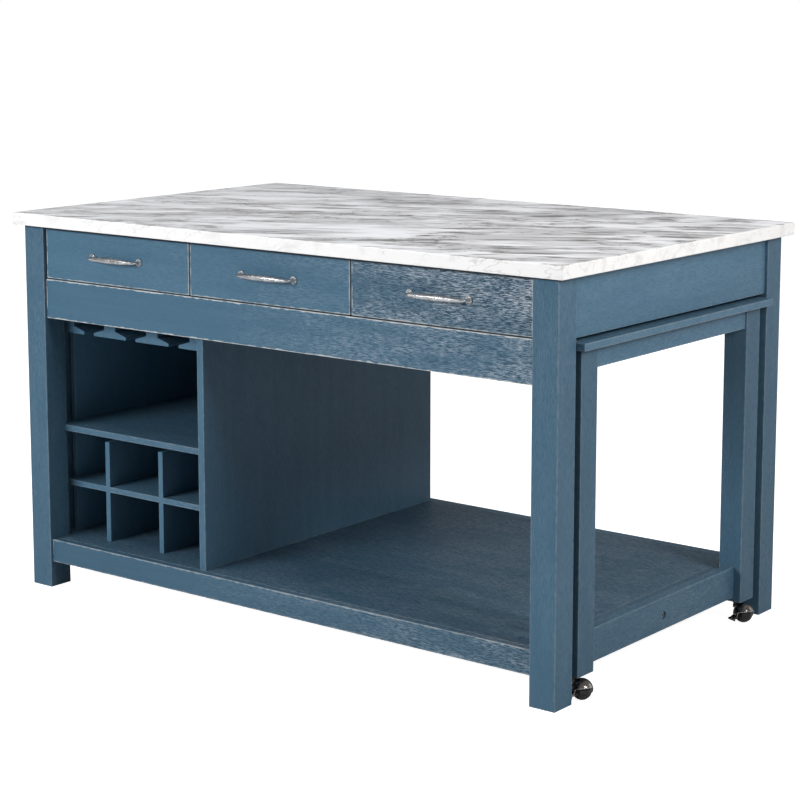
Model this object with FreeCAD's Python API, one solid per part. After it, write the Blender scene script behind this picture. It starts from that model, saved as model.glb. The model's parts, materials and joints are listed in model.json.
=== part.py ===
import FreeCAD, Part
import math
import os

# Kitchen island with three drawers, stemware rack, bottle grid, open shelf and a pull-out
# table leaf on two casters.  Millimetres, +Z up.  The origin is on the floor under the centre
# of the worktop; X runs along the long side towards the leaf, Y from the drawer side to the back.

# ---- overall size -------------------------------------------------------------------------
HEIGHT = 914.0          # floor to the top of the worktop
FRAME_L = 1534.0        # outside of leg to outside of leg, along X
FRAME_W = 914.0         # outside of leg to outside of leg, along Y
TOP_T = 29.0            # worktop thickness
TOP_OVER = 22.0         # worktop overhang past the legs
LEG = 63.0              # square leg
RECESS = 7.0            # rails and drawer fronts sit this far behind the leg faces
RAIL_T = 22.0           # rail thickness
EASE = 1.2              # eased edge on solid wood
EASE_TOP = 1.6          # eased edge on the worktop

# ---- levels -------------------------------------------------------------------------------
UPPER_Z = 663.0         # underside of the upper front rail
DRAWER_Z = 757.0        # top of the upper front rail
LOW_Z0 = 63.0           # underside of the bottom rails
LOW_Z1 = 118.0          # top of the bottom rails and of the bottom shelf
SHELF_T = 20.0          # bottom shelf thickness
SIDE_Z = 756.0          # underside of the rail above the leaf
PART_Z = 750.0          # underside of the drawer partitions

# ---- storage bay at the left end ------------------------------------------------------------
DIVIDER_X = 550.0       # right face of the divider, from the left end
DIVIDER_T = 19.0
PANEL_T = 12.0          # thin panels
PANEL_SET = 12.0        # end panel behind the leg faces
LINING_X = 45.0         # inner face of the end lining, from the left end
LINING_SET = 109.0      # front edge of the end lining, from the front
RACK_Z = 650.0          # underside of the rack board
WINE_Z = 395.0          # top of the storage shelf
WINE_T = 15.0
WINE_SET = 56.0         # front edge of the storage shelf, from the front
GRID_SET = 79.0         # front edge of the bottle grid and of the stemware rails
GRID_D = 340.0          # depth of the bottle grid
GRID_T = 14.0           # upright thickness
GRID_TOP = 363.0        # top of the uprights
GRID_DECK_Z = 253.0     # top of the grid deck
GRID_DECK_T = 13.0
GRID_X = (177.0, 354.0)  # left face of each upright, from the left end
STEM_PITCH = 140.0      # stemware rails, centre to centre
STEM_FIRST = 60.0       # centre of the first stemware rail, from the left end
STEM_COUNT = 4
STEM_W = 37.0           # web of a stemware rail
STEM_FLANGE = 108.0     # flange of a stemware rail
STEM_DROP = 32.0        # height of a stemware rail
STEM_TIP = 7.0          # flange thickness at its tip
STEM_SLOPE = 10.5       # rise of the sloped shoulder
STEM_TIP_R = 2.4        # rounding of the flange tips
STEM_L = 350.0

# ---- drawers --------------------------------------------------------------------------------
DRAWERS = 3
DRAWER_GAP = 4.0        # gap between drawer fronts and beside the legs
DRAWER_TOP_GAP = 3.0
FRONT_T = 20.0          # drawer front thickness
PARTITION_T = 19.0
WALL_T = 12.0           # drawer box walls
BOX_D = 420.0           # drawer box depth
BOX_H = 90.0
BOX_Z = 768.0           # underside of the drawer box
BOTTOM_T = 6.0
BOTTOM_UP = 6.0         # bottom panel above the lower edge of the box
SLIDE_T = 12.7          # drawer slide thickness, one side
SLIDE_H = 45.0
SLIDE_L = 400.0
SLIDE_Z = 813.0         # centre line of the drawer slides
SLIDE_WALL = 1.2        # sheet of every slide member
SLIDE_GAP_Z = 0.5       # working gap between nested members, above and below
SLIDE_GAP_Y = 0.8       # working gap between their webs
SLIDE_LIP_FIXED = 3.2   # edge of the fixed member, short of the full thickness
SLIDE_LIP_MIDDLE = 2.2

# ---- pull handle ----------------------------------------------------------------------------
PULL_CC = 152.0         # feet, centre to centre
PULL_OUT = 20.0         # grip axis in front of the drawer front
PULL_R = 7.4            # grip radius in the middle
PULL_END_R = 4.2        # grip radius where it meets the arms
PULL_ARM_R = 3.0
PULL_FOOT_R = 9.2
PULL_BEND = 12.0        # bend radius of the arms
PULL_FOOT_T = 3.0
SCREW_R = 2.0
SCREW_HEAD_R = 4.0
SCREW_HEAD_T = 2.4
SCREW_IN = 8.0          # screw length inside the pull foot

# ---- leaf -----------------------------------------------------------------------------------
LEAF_PROUD = 18.0       # board past the leg faces at the right end
LEAF_X0 = 560.0         # inner end of the board, from the left end
LEAF_CLEAR = 4.0        # board edge to the leg beside it
LEAF_Z = 748.0          # top of the board
LEAF_T = 16.0
LEAF_LEG_X = 57.0       # leaf leg along X
LEAF_LEG_Y = 60.0       # leaf leg along Y
LEAF_LEG_IN = 3.0       # leaf leg behind the island leg face
LEAF_LEG_SET = 88.0     # outer side of a leaf leg, from the front or back
LEAF_LEG_Z = 48.0       # underside of the leaf legs
LEAF_APRON_Z = 686.0
LEAF_APRON_T = 20.0
LEAF_APRON_SET = 4.0    # apron behind the leaf leg face
STRETCH_Z0 = 58.0
STRETCH_Z1 = 131.0
STRETCH_SET = 18.0      # stretcher behind the leaf leg face
STRETCH_T = 22.0
LEAF_RAIL_Z = 676.0     # underside of the leaf's long rails
LEAF_RAIL_T = 20.0
LEAF_RAIL_X0 = 580.0
RUNNER_Z0 = 672.0       # fixed runners that carry the leaf slides
RUNNER_Z1 = 728.0
LSLIDE_T = 14.5
LSLIDE_H = 53.0
LSLIDE_X0 = 600.0
LSLIDE_L = 850.0
BOLT_Z = 90.5
BOLT_R = 6.0
BOLT_POCKET_R = 9.0
BOLT_POCKET_D = 9.0
BOLT_HEX = 3.0
BOLT_HEAD_T = 6.0

# ---- caster ---------------------------------------------------------------------------------
CASTER_IN = 29.0        # swivel axis behind the island leg face
CASTER_TRAIL = 30.0
CASTER_TURN = -27.8     # heading of the trail, degrees from +X
WHEEL_R = 21.5
WHEEL_HALF_W = 15.0
HOOD_GAP = 0.8
HOOD_T = 1.5
HOOD_RIM = 3.6          # middle of the rim above the wheel centre
HOOD_TILT = 15.0        # the rim rises towards the trailing side
HOOD_EAR_R = 9.0
ARM_HALF_W = 6.4        # arm between neck and hood
ARM_Z1 = 39.5
NECK_R = 8.0
NECK_Z0 = 28.0
NECK_Z1 = 45.5
PIN_R = 4.0
PIN_TOP = 78.0
RUN_FIT = 0.05          # radial clearance of a running fit
SOCKET_R = 7.0
SOCKET_TOP = 82.0
FLANGE_R = 12.0
FLANGE_T = 2.0
AXLE_R = 3.0
AXLE_OUT = 24.8
PEDAL_A = 27.0          # pedal hinge, out from the wheel centre along the axle
PEDAL_Z = 14.0
PEDAL_PIN_R = 1.5
PEDAL_BARREL_R = 3.4
PEDAL_END = 40.0
PEDAL_TIP_T = 2.6       # pedal thickness at its tip
PEDAL_TIP_Z = 12.4
PEDAL_ROOT = 25.2       # inner end of the pedal blade
PEDAL_ROOT_Z = 5.2
PEDAL_CLEAR = 0.4       # pedal to the lugs
LUG_T0 = 5.5            # lugs beside the pedal, from the middle of the wheel
LUG_T1 = 8.0
LUG_ROOT = 4.0          # lug inside the hood's ball
LUG_REACH = 2.6         # lug past the pedal hinge
LUG_TOP = 22.5

# ---- derived positions ----------------------------------------------------------------------
XL = -FRAME_L / 2
XR = FRAME_L / 2
YF = -FRAME_W / 2
YB = FRAME_W / 2
LEG_TOP = HEIGHT - TOP_T
DIVIDER_FACE = XL + DIVIDER_X
DIVIDER_LEFT = DIVIDER_FACE - DIVIDER_T
RAIL_IN_F = YF + RECESS + RAIL_T
RAIL_IN_B = YB - RECESS - RAIL_T
SPAN_X0 = XL + LEG
SPAN_X1 = XR - LEG
SPAN_Y0 = YF + LEG
SPAN_Y1 = YB - LEG
FRONT_W = (SPAN_X1 - SPAN_X0 - (DRAWERS + 1) * DRAWER_GAP) / DRAWERS
PITCH = FRONT_W + DRAWER_GAP
BAY_W = PITCH - PARTITION_T
LEAF_FACE = XR - LEAF_LEG_IN
LEAF_LEG_X0 = LEAF_FACE - LEAF_LEG_X
LEAF_Y0 = YF + LEAF_LEG_SET
LEAF_Y1 = YB - LEAF_LEG_SET


def eased(shape, radius):
    """Round every edge of a plain board by the same small radius."""
    return shape.makeFillet(radius, shape.Edges)


def block(x0, x1, y0, y1, z0, z1):
    return Part.makeBox(x1 - x0, y1 - y0, z1 - z0, FreeCAD.Vector(x0, y0, z0))


def board(x0, x1, y0, y1, z0, z1, radius=EASE):
    return eased(block(x0, x1, y0, y1, z0, z1), radius)


def save(name, *solids):
    """Write one node; a node of several identical pieces is a group of separate solids."""
    shape = solids[0] if len(solids) == 1 else Part.makeCompound(list(solids))
    shape.exportStep("parts/" + name + ".step")


def mirrored(shape):
    """The same piece on the other side of the long centre line."""
    return shape.mirror(FreeCAD.Vector(0, 0, 0), FreeCAD.Vector(0, 1, 0))


def worktop():
    x1 = FRAME_L / 2 + TOP_OVER
    y1 = FRAME_W / 2 + TOP_OVER
    return board(-x1, x1, -y1, y1, LEG_TOP, HEIGHT, EASE_TOP)


def legs():
    for side, x0 in (("left", XL), ("right", SPAN_X1)):
        for face, y0 in (("front", YF), ("back", SPAN_Y1)):
            save("leg_" + face + "_" + side, board(x0, x0 + LEG, y0, y0 + LEG, 0, LEG_TOP))


def long_rails():
    front_y = YF + RECESS
    save("front_rail", board(SPAN_X0, SPAN_X1, front_y, RAIL_IN_F, UPPER_Z, DRAWER_Z))
    save("back_apron", board(SPAN_X0, SPAN_X1, RAIL_IN_B, RAIL_IN_B + RAIL_T, UPPER_Z, LEG_TOP))
    low_front = board(SPAN_X0, SPAN_X1, front_y, RAIL_IN_F, LOW_Z0, LOW_Z1)
    save("bottom_rail_front", low_front)
    save("bottom_rail_back", mirrored(low_front))


def end_rails():
    left = XL + RECESS
    right = XR - RECESS
    save("side_apron_left", board(left, left + RAIL_T, SPAN_Y0, SPAN_Y1, UPPER_Z, LEG_TOP))
    save("side_apron_right", board(right - RAIL_T, right, SPAN_Y0, SPAN_Y1, SIDE_Z, LEG_TOP))
    save("bottom_rail_left", board(left, left + RAIL_T, SPAN_Y0, SPAN_Y1, LOW_Z0, LOW_Z1))
    low_right = board(SPAN_X1 - RAIL_T, SPAN_X1, RAIL_IN_F, RAIL_IN_B, LOW_Z0, LOW_Z1)
    save("bottom_rail_right", low_right)


def bottom_shelf():
    """Shelf board between the bottom rails, notched round the two left legs."""
    x0 = XL + RECESS + RAIL_T
    slab = block(x0, SPAN_X1 - RAIL_T, RAIL_IN_F, RAIL_IN_B, LOW_Z1 - SHELF_T, LOW_Z1)
    for y0 in (YF, SPAN_Y1):
        slab = slab.cut(block(XL, SPAN_X0, y0, y0 + LEG, 0, HEIGHT))
    return slab


def storage_bay():
    """Panels, shelf and rack board of the bay at the left end."""
    end_x0 = XL + PANEL_SET
    lining_x = XL + LINING_X
    save("end_panel", block(end_x0, end_x0 + PANEL_T, SPAN_Y0, SPAN_Y1, LOW_Z1, UPPER_Z))
    save("end_lining", block(lining_x - PANEL_T, lining_x, YF + LINING_SET, YB - LINING_SET,
                             LOW_Z1, RACK_Z))
    save("divider_panel", board(DIVIDER_LEFT, DIVIDER_FACE, RAIL_IN_F, RAIL_IN_B, LOW_Z1, PART_Z))
    save("bay_back_panel", block(SPAN_X0, DIVIDER_LEFT, RAIL_IN_B - PANEL_T, RAIL_IN_B,
                                 LOW_Z1, RACK_Z))
    shelf = board(lining_x, DIVIDER_LEFT, YF + WINE_SET, SPAN_Y1 - LEG, WINE_Z - WINE_T, WINE_Z)
    save("storage_shelf", shelf.cut(block(XL, SPAN_X0, YF, SPAN_Y0, 0, HEIGHT)))
    save("rack_board", block(end_x0 + PANEL_T, DIVIDER_LEFT, SPAN_Y0, SPAN_Y1,
                             RACK_Z, RACK_Z + PANEL_T))


def bottle_grid():
    """Deck and uprights, halved into each other: uprights run through in front."""
    y0 = YF + GRID_SET
    y1 = y0 + GRID_D
    middle = (y0 + y1) / 2
    z0 = GRID_DECK_Z - GRID_DECK_T
    deck = block(XL + LINING_X, DIVIDER_LEFT, y0, y1, z0, GRID_DECK_Z)
    uprights = []
    for offset in GRID_X:
        x0 = XL + offset
        deck = deck.cut(block(x0, x0 + GRID_T, y0, middle, z0, GRID_DECK_Z))
        upright = block(x0, x0 + GRID_T, y0, y1, LOW_Z1, GRID_TOP)
        uprights.append(upright.cut(block(x0, x0 + GRID_T, middle, y1, z0, GRID_DECK_Z)))
    save("grid_deck", deck)
    save("grid_uprights", *uprights)


def stem_rail(centre):
    """Upside-down T rail, cut off at the bay's side walls."""
    z0 = RACK_Z - STEM_DROP
    half = STEM_FLANGE / 2
    web = STEM_W / 2
    shoulder = z0 + STEM_TIP + STEM_SLOPE
    outline = [(-half, z0), (half, z0), (half, z0 + STEM_TIP), (web, shoulder), (web, RACK_Z),
               (-web, RACK_Z), (-web, shoulder), (-half, z0 + STEM_TIP), (-half, z0)]
    y0 = YF + GRID_SET
    points = [FreeCAD.Vector(centre + x, y0, z) for x, z in outline]
    rail = Part.Face(Part.makePolygon(points)).extrude(FreeCAD.Vector(0, STEM_L, 0))
    tips = [e for e in rail.Edges
            if e.Length > STEM_L / 2 and abs(abs(e.CenterOfMass.x - centre) - half) < STEM_TIP_R / 2]
    rail = rail.makeFillet(STEM_TIP_R, tips)
    return rail.common(block(XL + LINING_X, DIVIDER_LEFT, y0, y0 + STEM_L, z0, RACK_Z))


def stem_rails():
    first = XL + STEM_FIRST
    save("stemware_rails", *[stem_rail(first + i * STEM_PITCH) for i in range(STEM_COUNT)])


def drawer_frame():
    """Upright boards between and beside the drawers; they carry the fixed slide members."""
    boards = []
    for i in range(1, DRAWERS):
        centre = SPAN_X0 + DRAWER_GAP / 2 + i * PITCH
        boards.append(block(centre - PARTITION_T / 2, centre + PARTITION_T / 2, RAIL_IN_F, RAIL_IN_B,
                            PART_Z, LEG_TOP))
    save("drawer_partitions", *boards)
    edge = SPAN_X0 + DRAWER_GAP / 2 + PARTITION_T / 2
    left = block(edge - PARTITION_T, edge, SPAN_Y0, SPAN_Y1, PART_Z, LEG_TOP)
    right = left.mirror(FreeCAD.Vector(0, 0, 0), FreeCAD.Vector(1, 0, 0))
    save("drawer_cheeks", left, right)


def channel(length, height, wall, t0, t1, web_at):
    """Slide member: a flat channel along +X, thickness along +Y, with its web at web_at."""
    outer = block(0, length, t0, t1, -height / 2, height / 2)
    if web_at == "low":
        return outer.cut(block(0, length, t0 + wall, t1, -height / 2 + wall, height / 2 - wall))
    return outer.cut(block(0, length, t0, t1 - wall, -height / 2 + wall, height / 2 - wall))


def slide_set(length, height, thickness):
    """Fixed, middle and moving members, nested with a working gap between them."""
    wall = SLIDE_WALL
    step = wall + SLIDE_GAP_Z
    inset = wall + SLIDE_GAP_Y
    fixed = channel(length, height, wall, 0, thickness - SLIDE_LIP_FIXED, "low")
    middle = channel(length, height - 2 * step, wall, inset, thickness - SLIDE_LIP_MIDDLE, "low")
    moving = channel(length, height - 4 * step, wall, 2 * inset, thickness, "high")
    return fixed, middle, moving


def pull(centre_x, centre_z):
    """Bar pull: a grip that swells in the middle, bent arms and flared feet, with its screws."""
    face = YF + RECESS
    half = PULL_CC / 2
    grip_half = half - PULL_BEND
    axis_y = face - PULL_OUT
    start = FreeCAD.Vector(centre_x - grip_half, axis_y, centre_z)
    end = FreeCAD.Vector(centre_x + grip_half, axis_y, centre_z)
    bulge = Part.Arc(start + FreeCAD.Vector(0, -PULL_END_R, 0),
                     FreeCAD.Vector(centre_x, axis_y - PULL_R, centre_z),
                     end + FreeCAD.Vector(0, -PULL_END_R, 0)).toShape()
    sides = [Part.makeLine(start, start + FreeCAD.Vector(0, -PULL_END_R, 0)), bulge,
             Part.makeLine(end + FreeCAD.Vector(0, -PULL_END_R, 0), end), Part.makeLine(end, start)]
    grip = Part.Face(Part.Wire(sides)).revolve(start, FreeCAD.Vector(1, 0, 0), 360)
    shape = grip
    screws = []
    for side in (-1, 1):
        foot_x = centre_x + side * half
        bend = Part.makeTorus(PULL_BEND, PULL_ARM_R, FreeCAD.Vector(foot_x - side * PULL_BEND,
                              axis_y + PULL_BEND, centre_z), FreeCAD.Vector(0, 0, 1))
        corner_x = foot_x - side * PULL_BEND
        quarter = block(min(corner_x, corner_x + side * 3 * PULL_BEND),
                        max(corner_x, corner_x + side * 3 * PULL_BEND),
                        axis_y - PULL_BEND, axis_y + PULL_BEND, centre_z - PULL_R, centre_z + PULL_R)
        arm = Part.makeCylinder(PULL_ARM_R, PULL_OUT - PULL_BEND,
                                FreeCAD.Vector(foot_x, axis_y + PULL_BEND, centre_z),
                                FreeCAD.Vector(0, 1, 0))
        flare = Part.makeCone(PULL_ARM_R, PULL_FOOT_R, PULL_FOOT_T,
                              FreeCAD.Vector(foot_x, face - 2 * PULL_FOOT_T, centre_z),
                              FreeCAD.Vector(0, 1, 0))
        foot = Part.makeCylinder(PULL_FOOT_R, PULL_FOOT_T, FreeCAD.Vector(foot_x, face - PULL_FOOT_T,
                                 centre_z), FreeCAD.Vector(0, 1, 0))
        tip_y = face - SCREW_IN
        hole = Part.makeCylinder(SCREW_R, SCREW_IN, FreeCAD.Vector(foot_x, tip_y, centre_z),
                                 FreeCAD.Vector(0, 1, 0))
        shape = shape.fuse([bend.common(quarter), arm, flare, foot]).cut(hole)
        shank = Part.makeCylinder(SCREW_R, SCREW_IN + FRONT_T, FreeCAD.Vector(foot_x, tip_y, centre_z),
                                  FreeCAD.Vector(0, 1, 0))
        head = Part.makeCylinder(SCREW_HEAD_R, SCREW_HEAD_T, FreeCAD.Vector(foot_x, face + FRONT_T,
                                 centre_z), FreeCAD.Vector(0, 1, 0))
        screws.append(shank.fuse(head).removeSplitter())
    return [shape.removeSplitter()] + screws


def drawer(index, fixed_slides):
    """One drawer: front, pull, box and slide members; returns nothing but saves its nodes."""
    number = str(index + 1)
    front_x = SPAN_X0 + DRAWER_GAP + index * PITCH
    centre = front_x + FRONT_W / 2
    face = YF + RECESS
    z1 = LEG_TOP - DRAWER_TOP_GAP
    z0 = DRAWER_Z + DRAWER_TOP_GAP
    pull_z = (z0 + z1) / 2
    front = board(front_x, front_x + FRONT_W, face, face + FRONT_T, z0, z1)
    for side in (-1, 1):
        hole = Part.makeCylinder(SCREW_R, FRONT_T, FreeCAD.Vector(centre + side * PULL_CC / 2, face, pull_z),
                                 FreeCAD.Vector(0, 1, 0))
        front = front.cut(hole)
    save("drawer_front_" + number, front)
    save("drawer_pull_" + number, *pull(centre, pull_z))
    half = BAY_W / 2 - SLIDE_T
    y0 = face + FRONT_T
    y1 = y0 + BOX_D
    walls = [block(centre + side * (half - WALL_T / 2) - WALL_T / 2,
                   centre + side * (half - WALL_T / 2) + WALL_T / 2, y0, y1, BOX_Z, BOX_Z + BOX_H)
             for side in (-1, 1)]
    inner = half - WALL_T
    head_gap = SCREW_HEAD_T + 1
    subfront = block(centre - inner, centre + inner, y0 + head_gap, y0 + head_gap + WALL_T,
                     BOX_Z, BOX_Z + BOX_H)
    back = block(centre - inner, centre + inner, y1 - WALL_T, y1, BOX_Z, BOX_Z + BOX_H)
    base_z = BOX_Z + BOTTOM_UP
    base = block(centre - inner, centre + inner, y0 + head_gap + WALL_T, y1 - WALL_T,
                 base_z, base_z + BOTTOM_T)
    save("drawer_box_" + number, walls[0], walls[1], subfront, back, base)
    fixed, middle, moving = slide_set(SLIDE_L, SLIDE_H, SLIDE_T)
    groups = ([], [])
    for side in (-1, 1):
        wall_x = centre + side * BAY_W / 2
        for member, target in ((fixed, fixed_slides), (middle, groups[0]), (moving, groups[1])):
            piece = member.copy()
            piece.rotate(FreeCAD.Vector(0, 0, 0), FreeCAD.Vector(0, 0, 1), side * 90)
            piece.translate(FreeCAD.Vector(wall_x, SPAN_Y0 if side > 0 else SPAN_Y0 + SLIDE_L, SLIDE_Z))
            target.append(piece)
    save("slide_middle_" + number, *groups[0])
    save("slide_moving_" + number, *[trim_slide(piece, y1) for piece in groups[1]])


def trim_slide(piece, y1):
    """Cut a moving member off at the back of the drawer box."""
    box = piece.BoundBox
    return piece.common(block(box.XMin - 1, box.XMax + 1, box.YMin, y1, box.ZMin - 1, box.ZMax + 1))


def drawers():
    fixed_slides = []
    for index in range(DRAWERS):
        drawer(index, fixed_slides)
    save("drawer_slides_fixed", *fixed_slides)


def leaf_top():
    board_y = FRAME_W / 2 - LEG - LEAF_CLEAR
    save("leaf_board", board(XL + LEAF_X0, XR + LEAF_PROUD, -board_y, board_y, LEAF_Z - LEAF_T, LEAF_Z))
    apron_x = LEAF_FACE - LEAF_APRON_SET
    inner_y = FRAME_W / 2 - LEAF_LEG_SET - LEAF_LEG_Y
    save("leaf_apron", board(apron_x - LEAF_APRON_T, apron_x, -inner_y, inner_y,
                             LEAF_APRON_Z, LEAF_Z - LEAF_T))
    x0 = XL + LEAF_RAIL_X0
    rail = block(x0, LEAF_LEG_X0, LEAF_Y0, LEAF_Y0 + LEAF_RAIL_T, LEAF_RAIL_Z, LEAF_Z - LEAF_T)
    end = block(x0, x0 + LEAF_RAIL_T, LEAF_Y0 + LEAF_RAIL_T, LEAF_Y1 - LEAF_RAIL_T,
                LEAF_RAIL_Z, LEAF_Z - LEAF_T)
    save("leaf_rails", rail, mirrored(rail), end)


def leaf_leg():
    """Front leaf leg with the socket bore for its caster."""
    leg = board(LEAF_LEG_X0, LEAF_FACE, LEAF_Y0, LEAF_Y0 + LEAF_LEG_Y, LEAF_LEG_Z, LEAF_Z - LEAF_T)
    bore = Part.makeCylinder(SOCKET_R, SOCKET_TOP - LEAF_LEG_Z, caster_axis(LEAF_LEG_Z))
    return leg.cut(bore)


def stretcher():
    x1 = LEAF_FACE - STRETCH_SET
    inner_y = FRAME_W / 2 - LEAF_LEG_SET - LEAF_LEG_Y
    bar = board(x1 - STRETCH_T, x1, -inner_y, inner_y, STRETCH_Z0, STRETCH_Z1)
    middle_z = BOLT_Z
    pocket = Part.makeCylinder(BOLT_POCKET_R, BOLT_POCKET_D,
                               FreeCAD.Vector(x1 - BOLT_POCKET_D, 0, middle_z), FreeCAD.Vector(1, 0, 0))
    shank_l = STRETCH_T - BOLT_POCKET_D
    shank = Part.makeCylinder(BOLT_R / 2, shank_l, FreeCAD.Vector(x1 - STRETCH_T, 0, middle_z),
                              FreeCAD.Vector(1, 0, 0))
    head_x = x1 - BOLT_POCKET_D
    head = Part.makeCylinder(BOLT_R, BOLT_HEAD_T, FreeCAD.Vector(head_x, 0, middle_z),
                             FreeCAD.Vector(1, 0, 0))
    corners = [FreeCAD.Vector(head_x + BOLT_HEAD_T / 2, BOLT_HEX * math.cos(math.radians(60 * k)),
                              middle_z + BOLT_HEX * math.sin(math.radians(60 * k))) for k in range(7)]
    key = Part.Face(Part.makePolygon(corners)).extrude(FreeCAD.Vector(BOLT_HEAD_T, 0, 0))
    save("leaf_stretcher", bar.cut(pocket).cut(shank))
    save("stretcher_bolt", shank.fuse(head).removeSplitter().cut(key))


def leaf_slides():
    """Runner boards on the island and the three members of each leaf slide."""
    runner_y = LEAF_Y0 - LSLIDE_T
    runner = block(DIVIDER_FACE, SPAN_X1, RAIL_IN_F, runner_y, RUNNER_Z0, RUNNER_Z1)
    save("leaf_runners", runner, mirrored(runner))
    level = FreeCAD.Vector(XL + LSLIDE_X0, runner_y, (LEAF_RAIL_Z + RUNNER_Z1) / 2)
    names = ("leaf_slides_fixed", "leaf_slides_middle", "leaf_slides_moving")
    for name, member in zip(names, slide_set(LSLIDE_L, LSLIDE_H, LSLIDE_T)):
        member.translate(level)
        save(name, member, mirrored(member))


def caster_axis(z):
    return FreeCAD.Vector(XR - CASTER_IN, YF + LEAF_LEG_SET + LEAF_LEG_Y / 2, z)


def along(t, a, z):
    """Point in the caster's own directions: t along the trail, a along the axle."""
    turn = math.radians(CASTER_TURN)
    base = caster_axis(z)
    x = base.x + t * math.cos(turn) + a * math.sin(turn)
    y = base.y + t * math.sin(turn) - a * math.cos(turn)
    return FreeCAD.Vector(x, y, z)


def caster_box(t0, t1, a0, a1, z0, z1):
    """Box aligned with the trail and the axle."""
    points = [along(t0, a0, z0), along(t1, a0, z0), along(t1, a1, z0), along(t0, a1, z0)]
    face = Part.Face(Part.makePolygon(points + [points[0]]))
    return face.extrude(FreeCAD.Vector(0, 0, z1 - z0))


def axle_rod(radius, a0, a1):
    start = along(CASTER_TRAIL, a0, WHEEL_R)
    end = along(CASTER_TRAIL, a1, WHEEL_R)
    return Part.makeCylinder(radius, (end - start).Length, start, end - start)


def cross_rod(radius, t0, t1):
    """Rod along the trail through the pedal hinge."""
    start = along(CASTER_TRAIL + t0, PEDAL_A, PEDAL_Z)
    end = along(CASTER_TRAIL + t1, PEDAL_A, PEDAL_Z)
    return Part.makeCylinder(radius, (end - start).Length, start, end - start)


def caster_hood():
    """Swivel pin, neck, tilted half-ball hood and pedal lugs in one piece, plus the riveted axle."""
    centre = along(CASTER_TRAIL, 0, WHEEL_R)
    inner_r = WHEEL_R + HOOD_GAP
    outer_r = inner_r + HOOD_T
    inner = Part.makeSphere(inner_r, centre)
    reach = 3 * WHEEL_R
    rim_z = WHEEL_R + HOOD_RIM
    cap = caster_box(CASTER_TRAIL - reach, CASTER_TRAIL + reach, -reach, reach, rim_z, rim_z + reach)
    rim_centre = along(CASTER_TRAIL, 0, rim_z)
    cap.rotate(rim_centre, along(CASTER_TRAIL, 1, rim_z) - rim_centre, HOOD_TILT)
    ears = axle_rod(HOOD_EAR_R, -reach, reach)
    hood = Part.makeSphere(outer_r, centre).common(cap.fuse(ears))
    neck = Part.makeCylinder(NECK_R, NECK_Z1 - NECK_Z0, caster_axis(NECK_Z0))
    arm = caster_box(0, CASTER_TRAIL - inner_r / 2, -ARM_HALF_W, ARM_HALF_W, NECK_Z0, ARM_Z1)
    pin = Part.makeCylinder(PIN_R, PIN_TOP - NECK_Z1, caster_axis(NECK_Z1))
    lugs = []
    for t0, t1 in ((-LUG_T1, -LUG_T0), (LUG_T0, LUG_T1)):
        lugs.append(caster_box(CASTER_TRAIL + t0, CASTER_TRAIL + t1, inner_r - LUG_ROOT,
                               PEDAL_A + LUG_REACH, PEDAL_Z - LUG_REACH, LUG_TOP))
    hinge_pin = cross_rod(PEDAL_PIN_R, -LUG_T1, LUG_T1)
    body = hood.fuse([neck, arm, pin] + lugs).cut(inner).fuse(hinge_pin)
    hole = axle_rod(AXLE_R, -reach, reach)
    axle = axle_rod(AXLE_R, -AXLE_OUT, AXLE_OUT)
    return [body.cut(hole).removeSplitter(), axle]


def caster_wheel():
    """Ball wheel with flat sides and a running bore for the axle."""
    ball = Part.makeSphere(WHEEL_R, along(CASTER_TRAIL, 0, WHEEL_R))
    slab = caster_box(0, 2 * CASTER_TRAIL, -WHEEL_HALF_W, WHEEL_HALF_W, 0, 2 * WHEEL_R)
    return ball.common(slab).cut(axle_rod(AXLE_R + RUN_FIT, -WHEEL_R, WHEEL_R))


def caster_pedal():
    """Brake lever on the lug pin: a barrel and a wedge blade that thins towards its tip."""
    width = LUG_T0 - PEDAL_CLEAR
    barrel = cross_rod(PEDAL_BARREL_R, -width, width)
    outline = [(PEDAL_ROOT, PEDAL_ROOT_Z), (PEDAL_END, PEDAL_TIP_Z), (PEDAL_END, PEDAL_TIP_Z + PEDAL_TIP_T),
               (PEDAL_A, PEDAL_Z + PEDAL_BARREL_R), (PEDAL_ROOT, PEDAL_Z)]
    points = [along(CASTER_TRAIL - width, a, z) for a, z in outline]
    across = along(CASTER_TRAIL + width, 0, 0) - along(CASTER_TRAIL - width, 0, 0)
    blade = Part.Face(Part.makePolygon(points + [points[0]])).extrude(across)
    lever = barrel.fuse(blade).removeSplitter()
    return lever.cut(cross_rod(PEDAL_PIN_R + RUN_FIT, -LUG_T1, LUG_T1))


def caster_socket():
    """Sleeve pressed into the leaf leg, with the flange under it."""
    sleeve = Part.makeCylinder(SOCKET_R, SOCKET_TOP - LEAF_LEG_Z, caster_axis(LEAF_LEG_Z))
    flange = Part.makeCylinder(FLANGE_R, FLANGE_T, caster_axis(LEAF_LEG_Z - FLANGE_T))
    bore = Part.makeCylinder(PIN_R + RUN_FIT, PIN_TOP + 1 - (LEAF_LEG_Z - FLANGE_T),
                             caster_axis(LEAF_LEG_Z - FLANGE_T))
    return sleeve.fuse(flange).removeSplitter().cut(bore)


def leaf():
    leaf_top()
    leg = leaf_leg()
    save("leaf_leg_front", leg)
    save("leaf_leg_back", mirrored(leg))
    stretcher()
    leaf_slides()


def casters():
    """Front caster, and the same caster moved to the back leaf leg."""
    shift = FreeCAD.Vector(0, -2 * caster_axis(0).y, 0)
    sockets = []
    for name, offset in (("front", FreeCAD.Vector(0, 0, 0)), ("back", shift)):
        pieces = {"hood": caster_hood(), "wheel": [caster_wheel()], "pedal": [caster_pedal()]}
        for piece, solids in pieces.items():
            for solid in solids:
                solid.translate(offset)
            save("caster_" + piece + "_" + name, *solids)
        socket = caster_socket()
        socket.translate(offset)
        sockets.append(socket)
    save("caster_sockets", *sockets)


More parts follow.
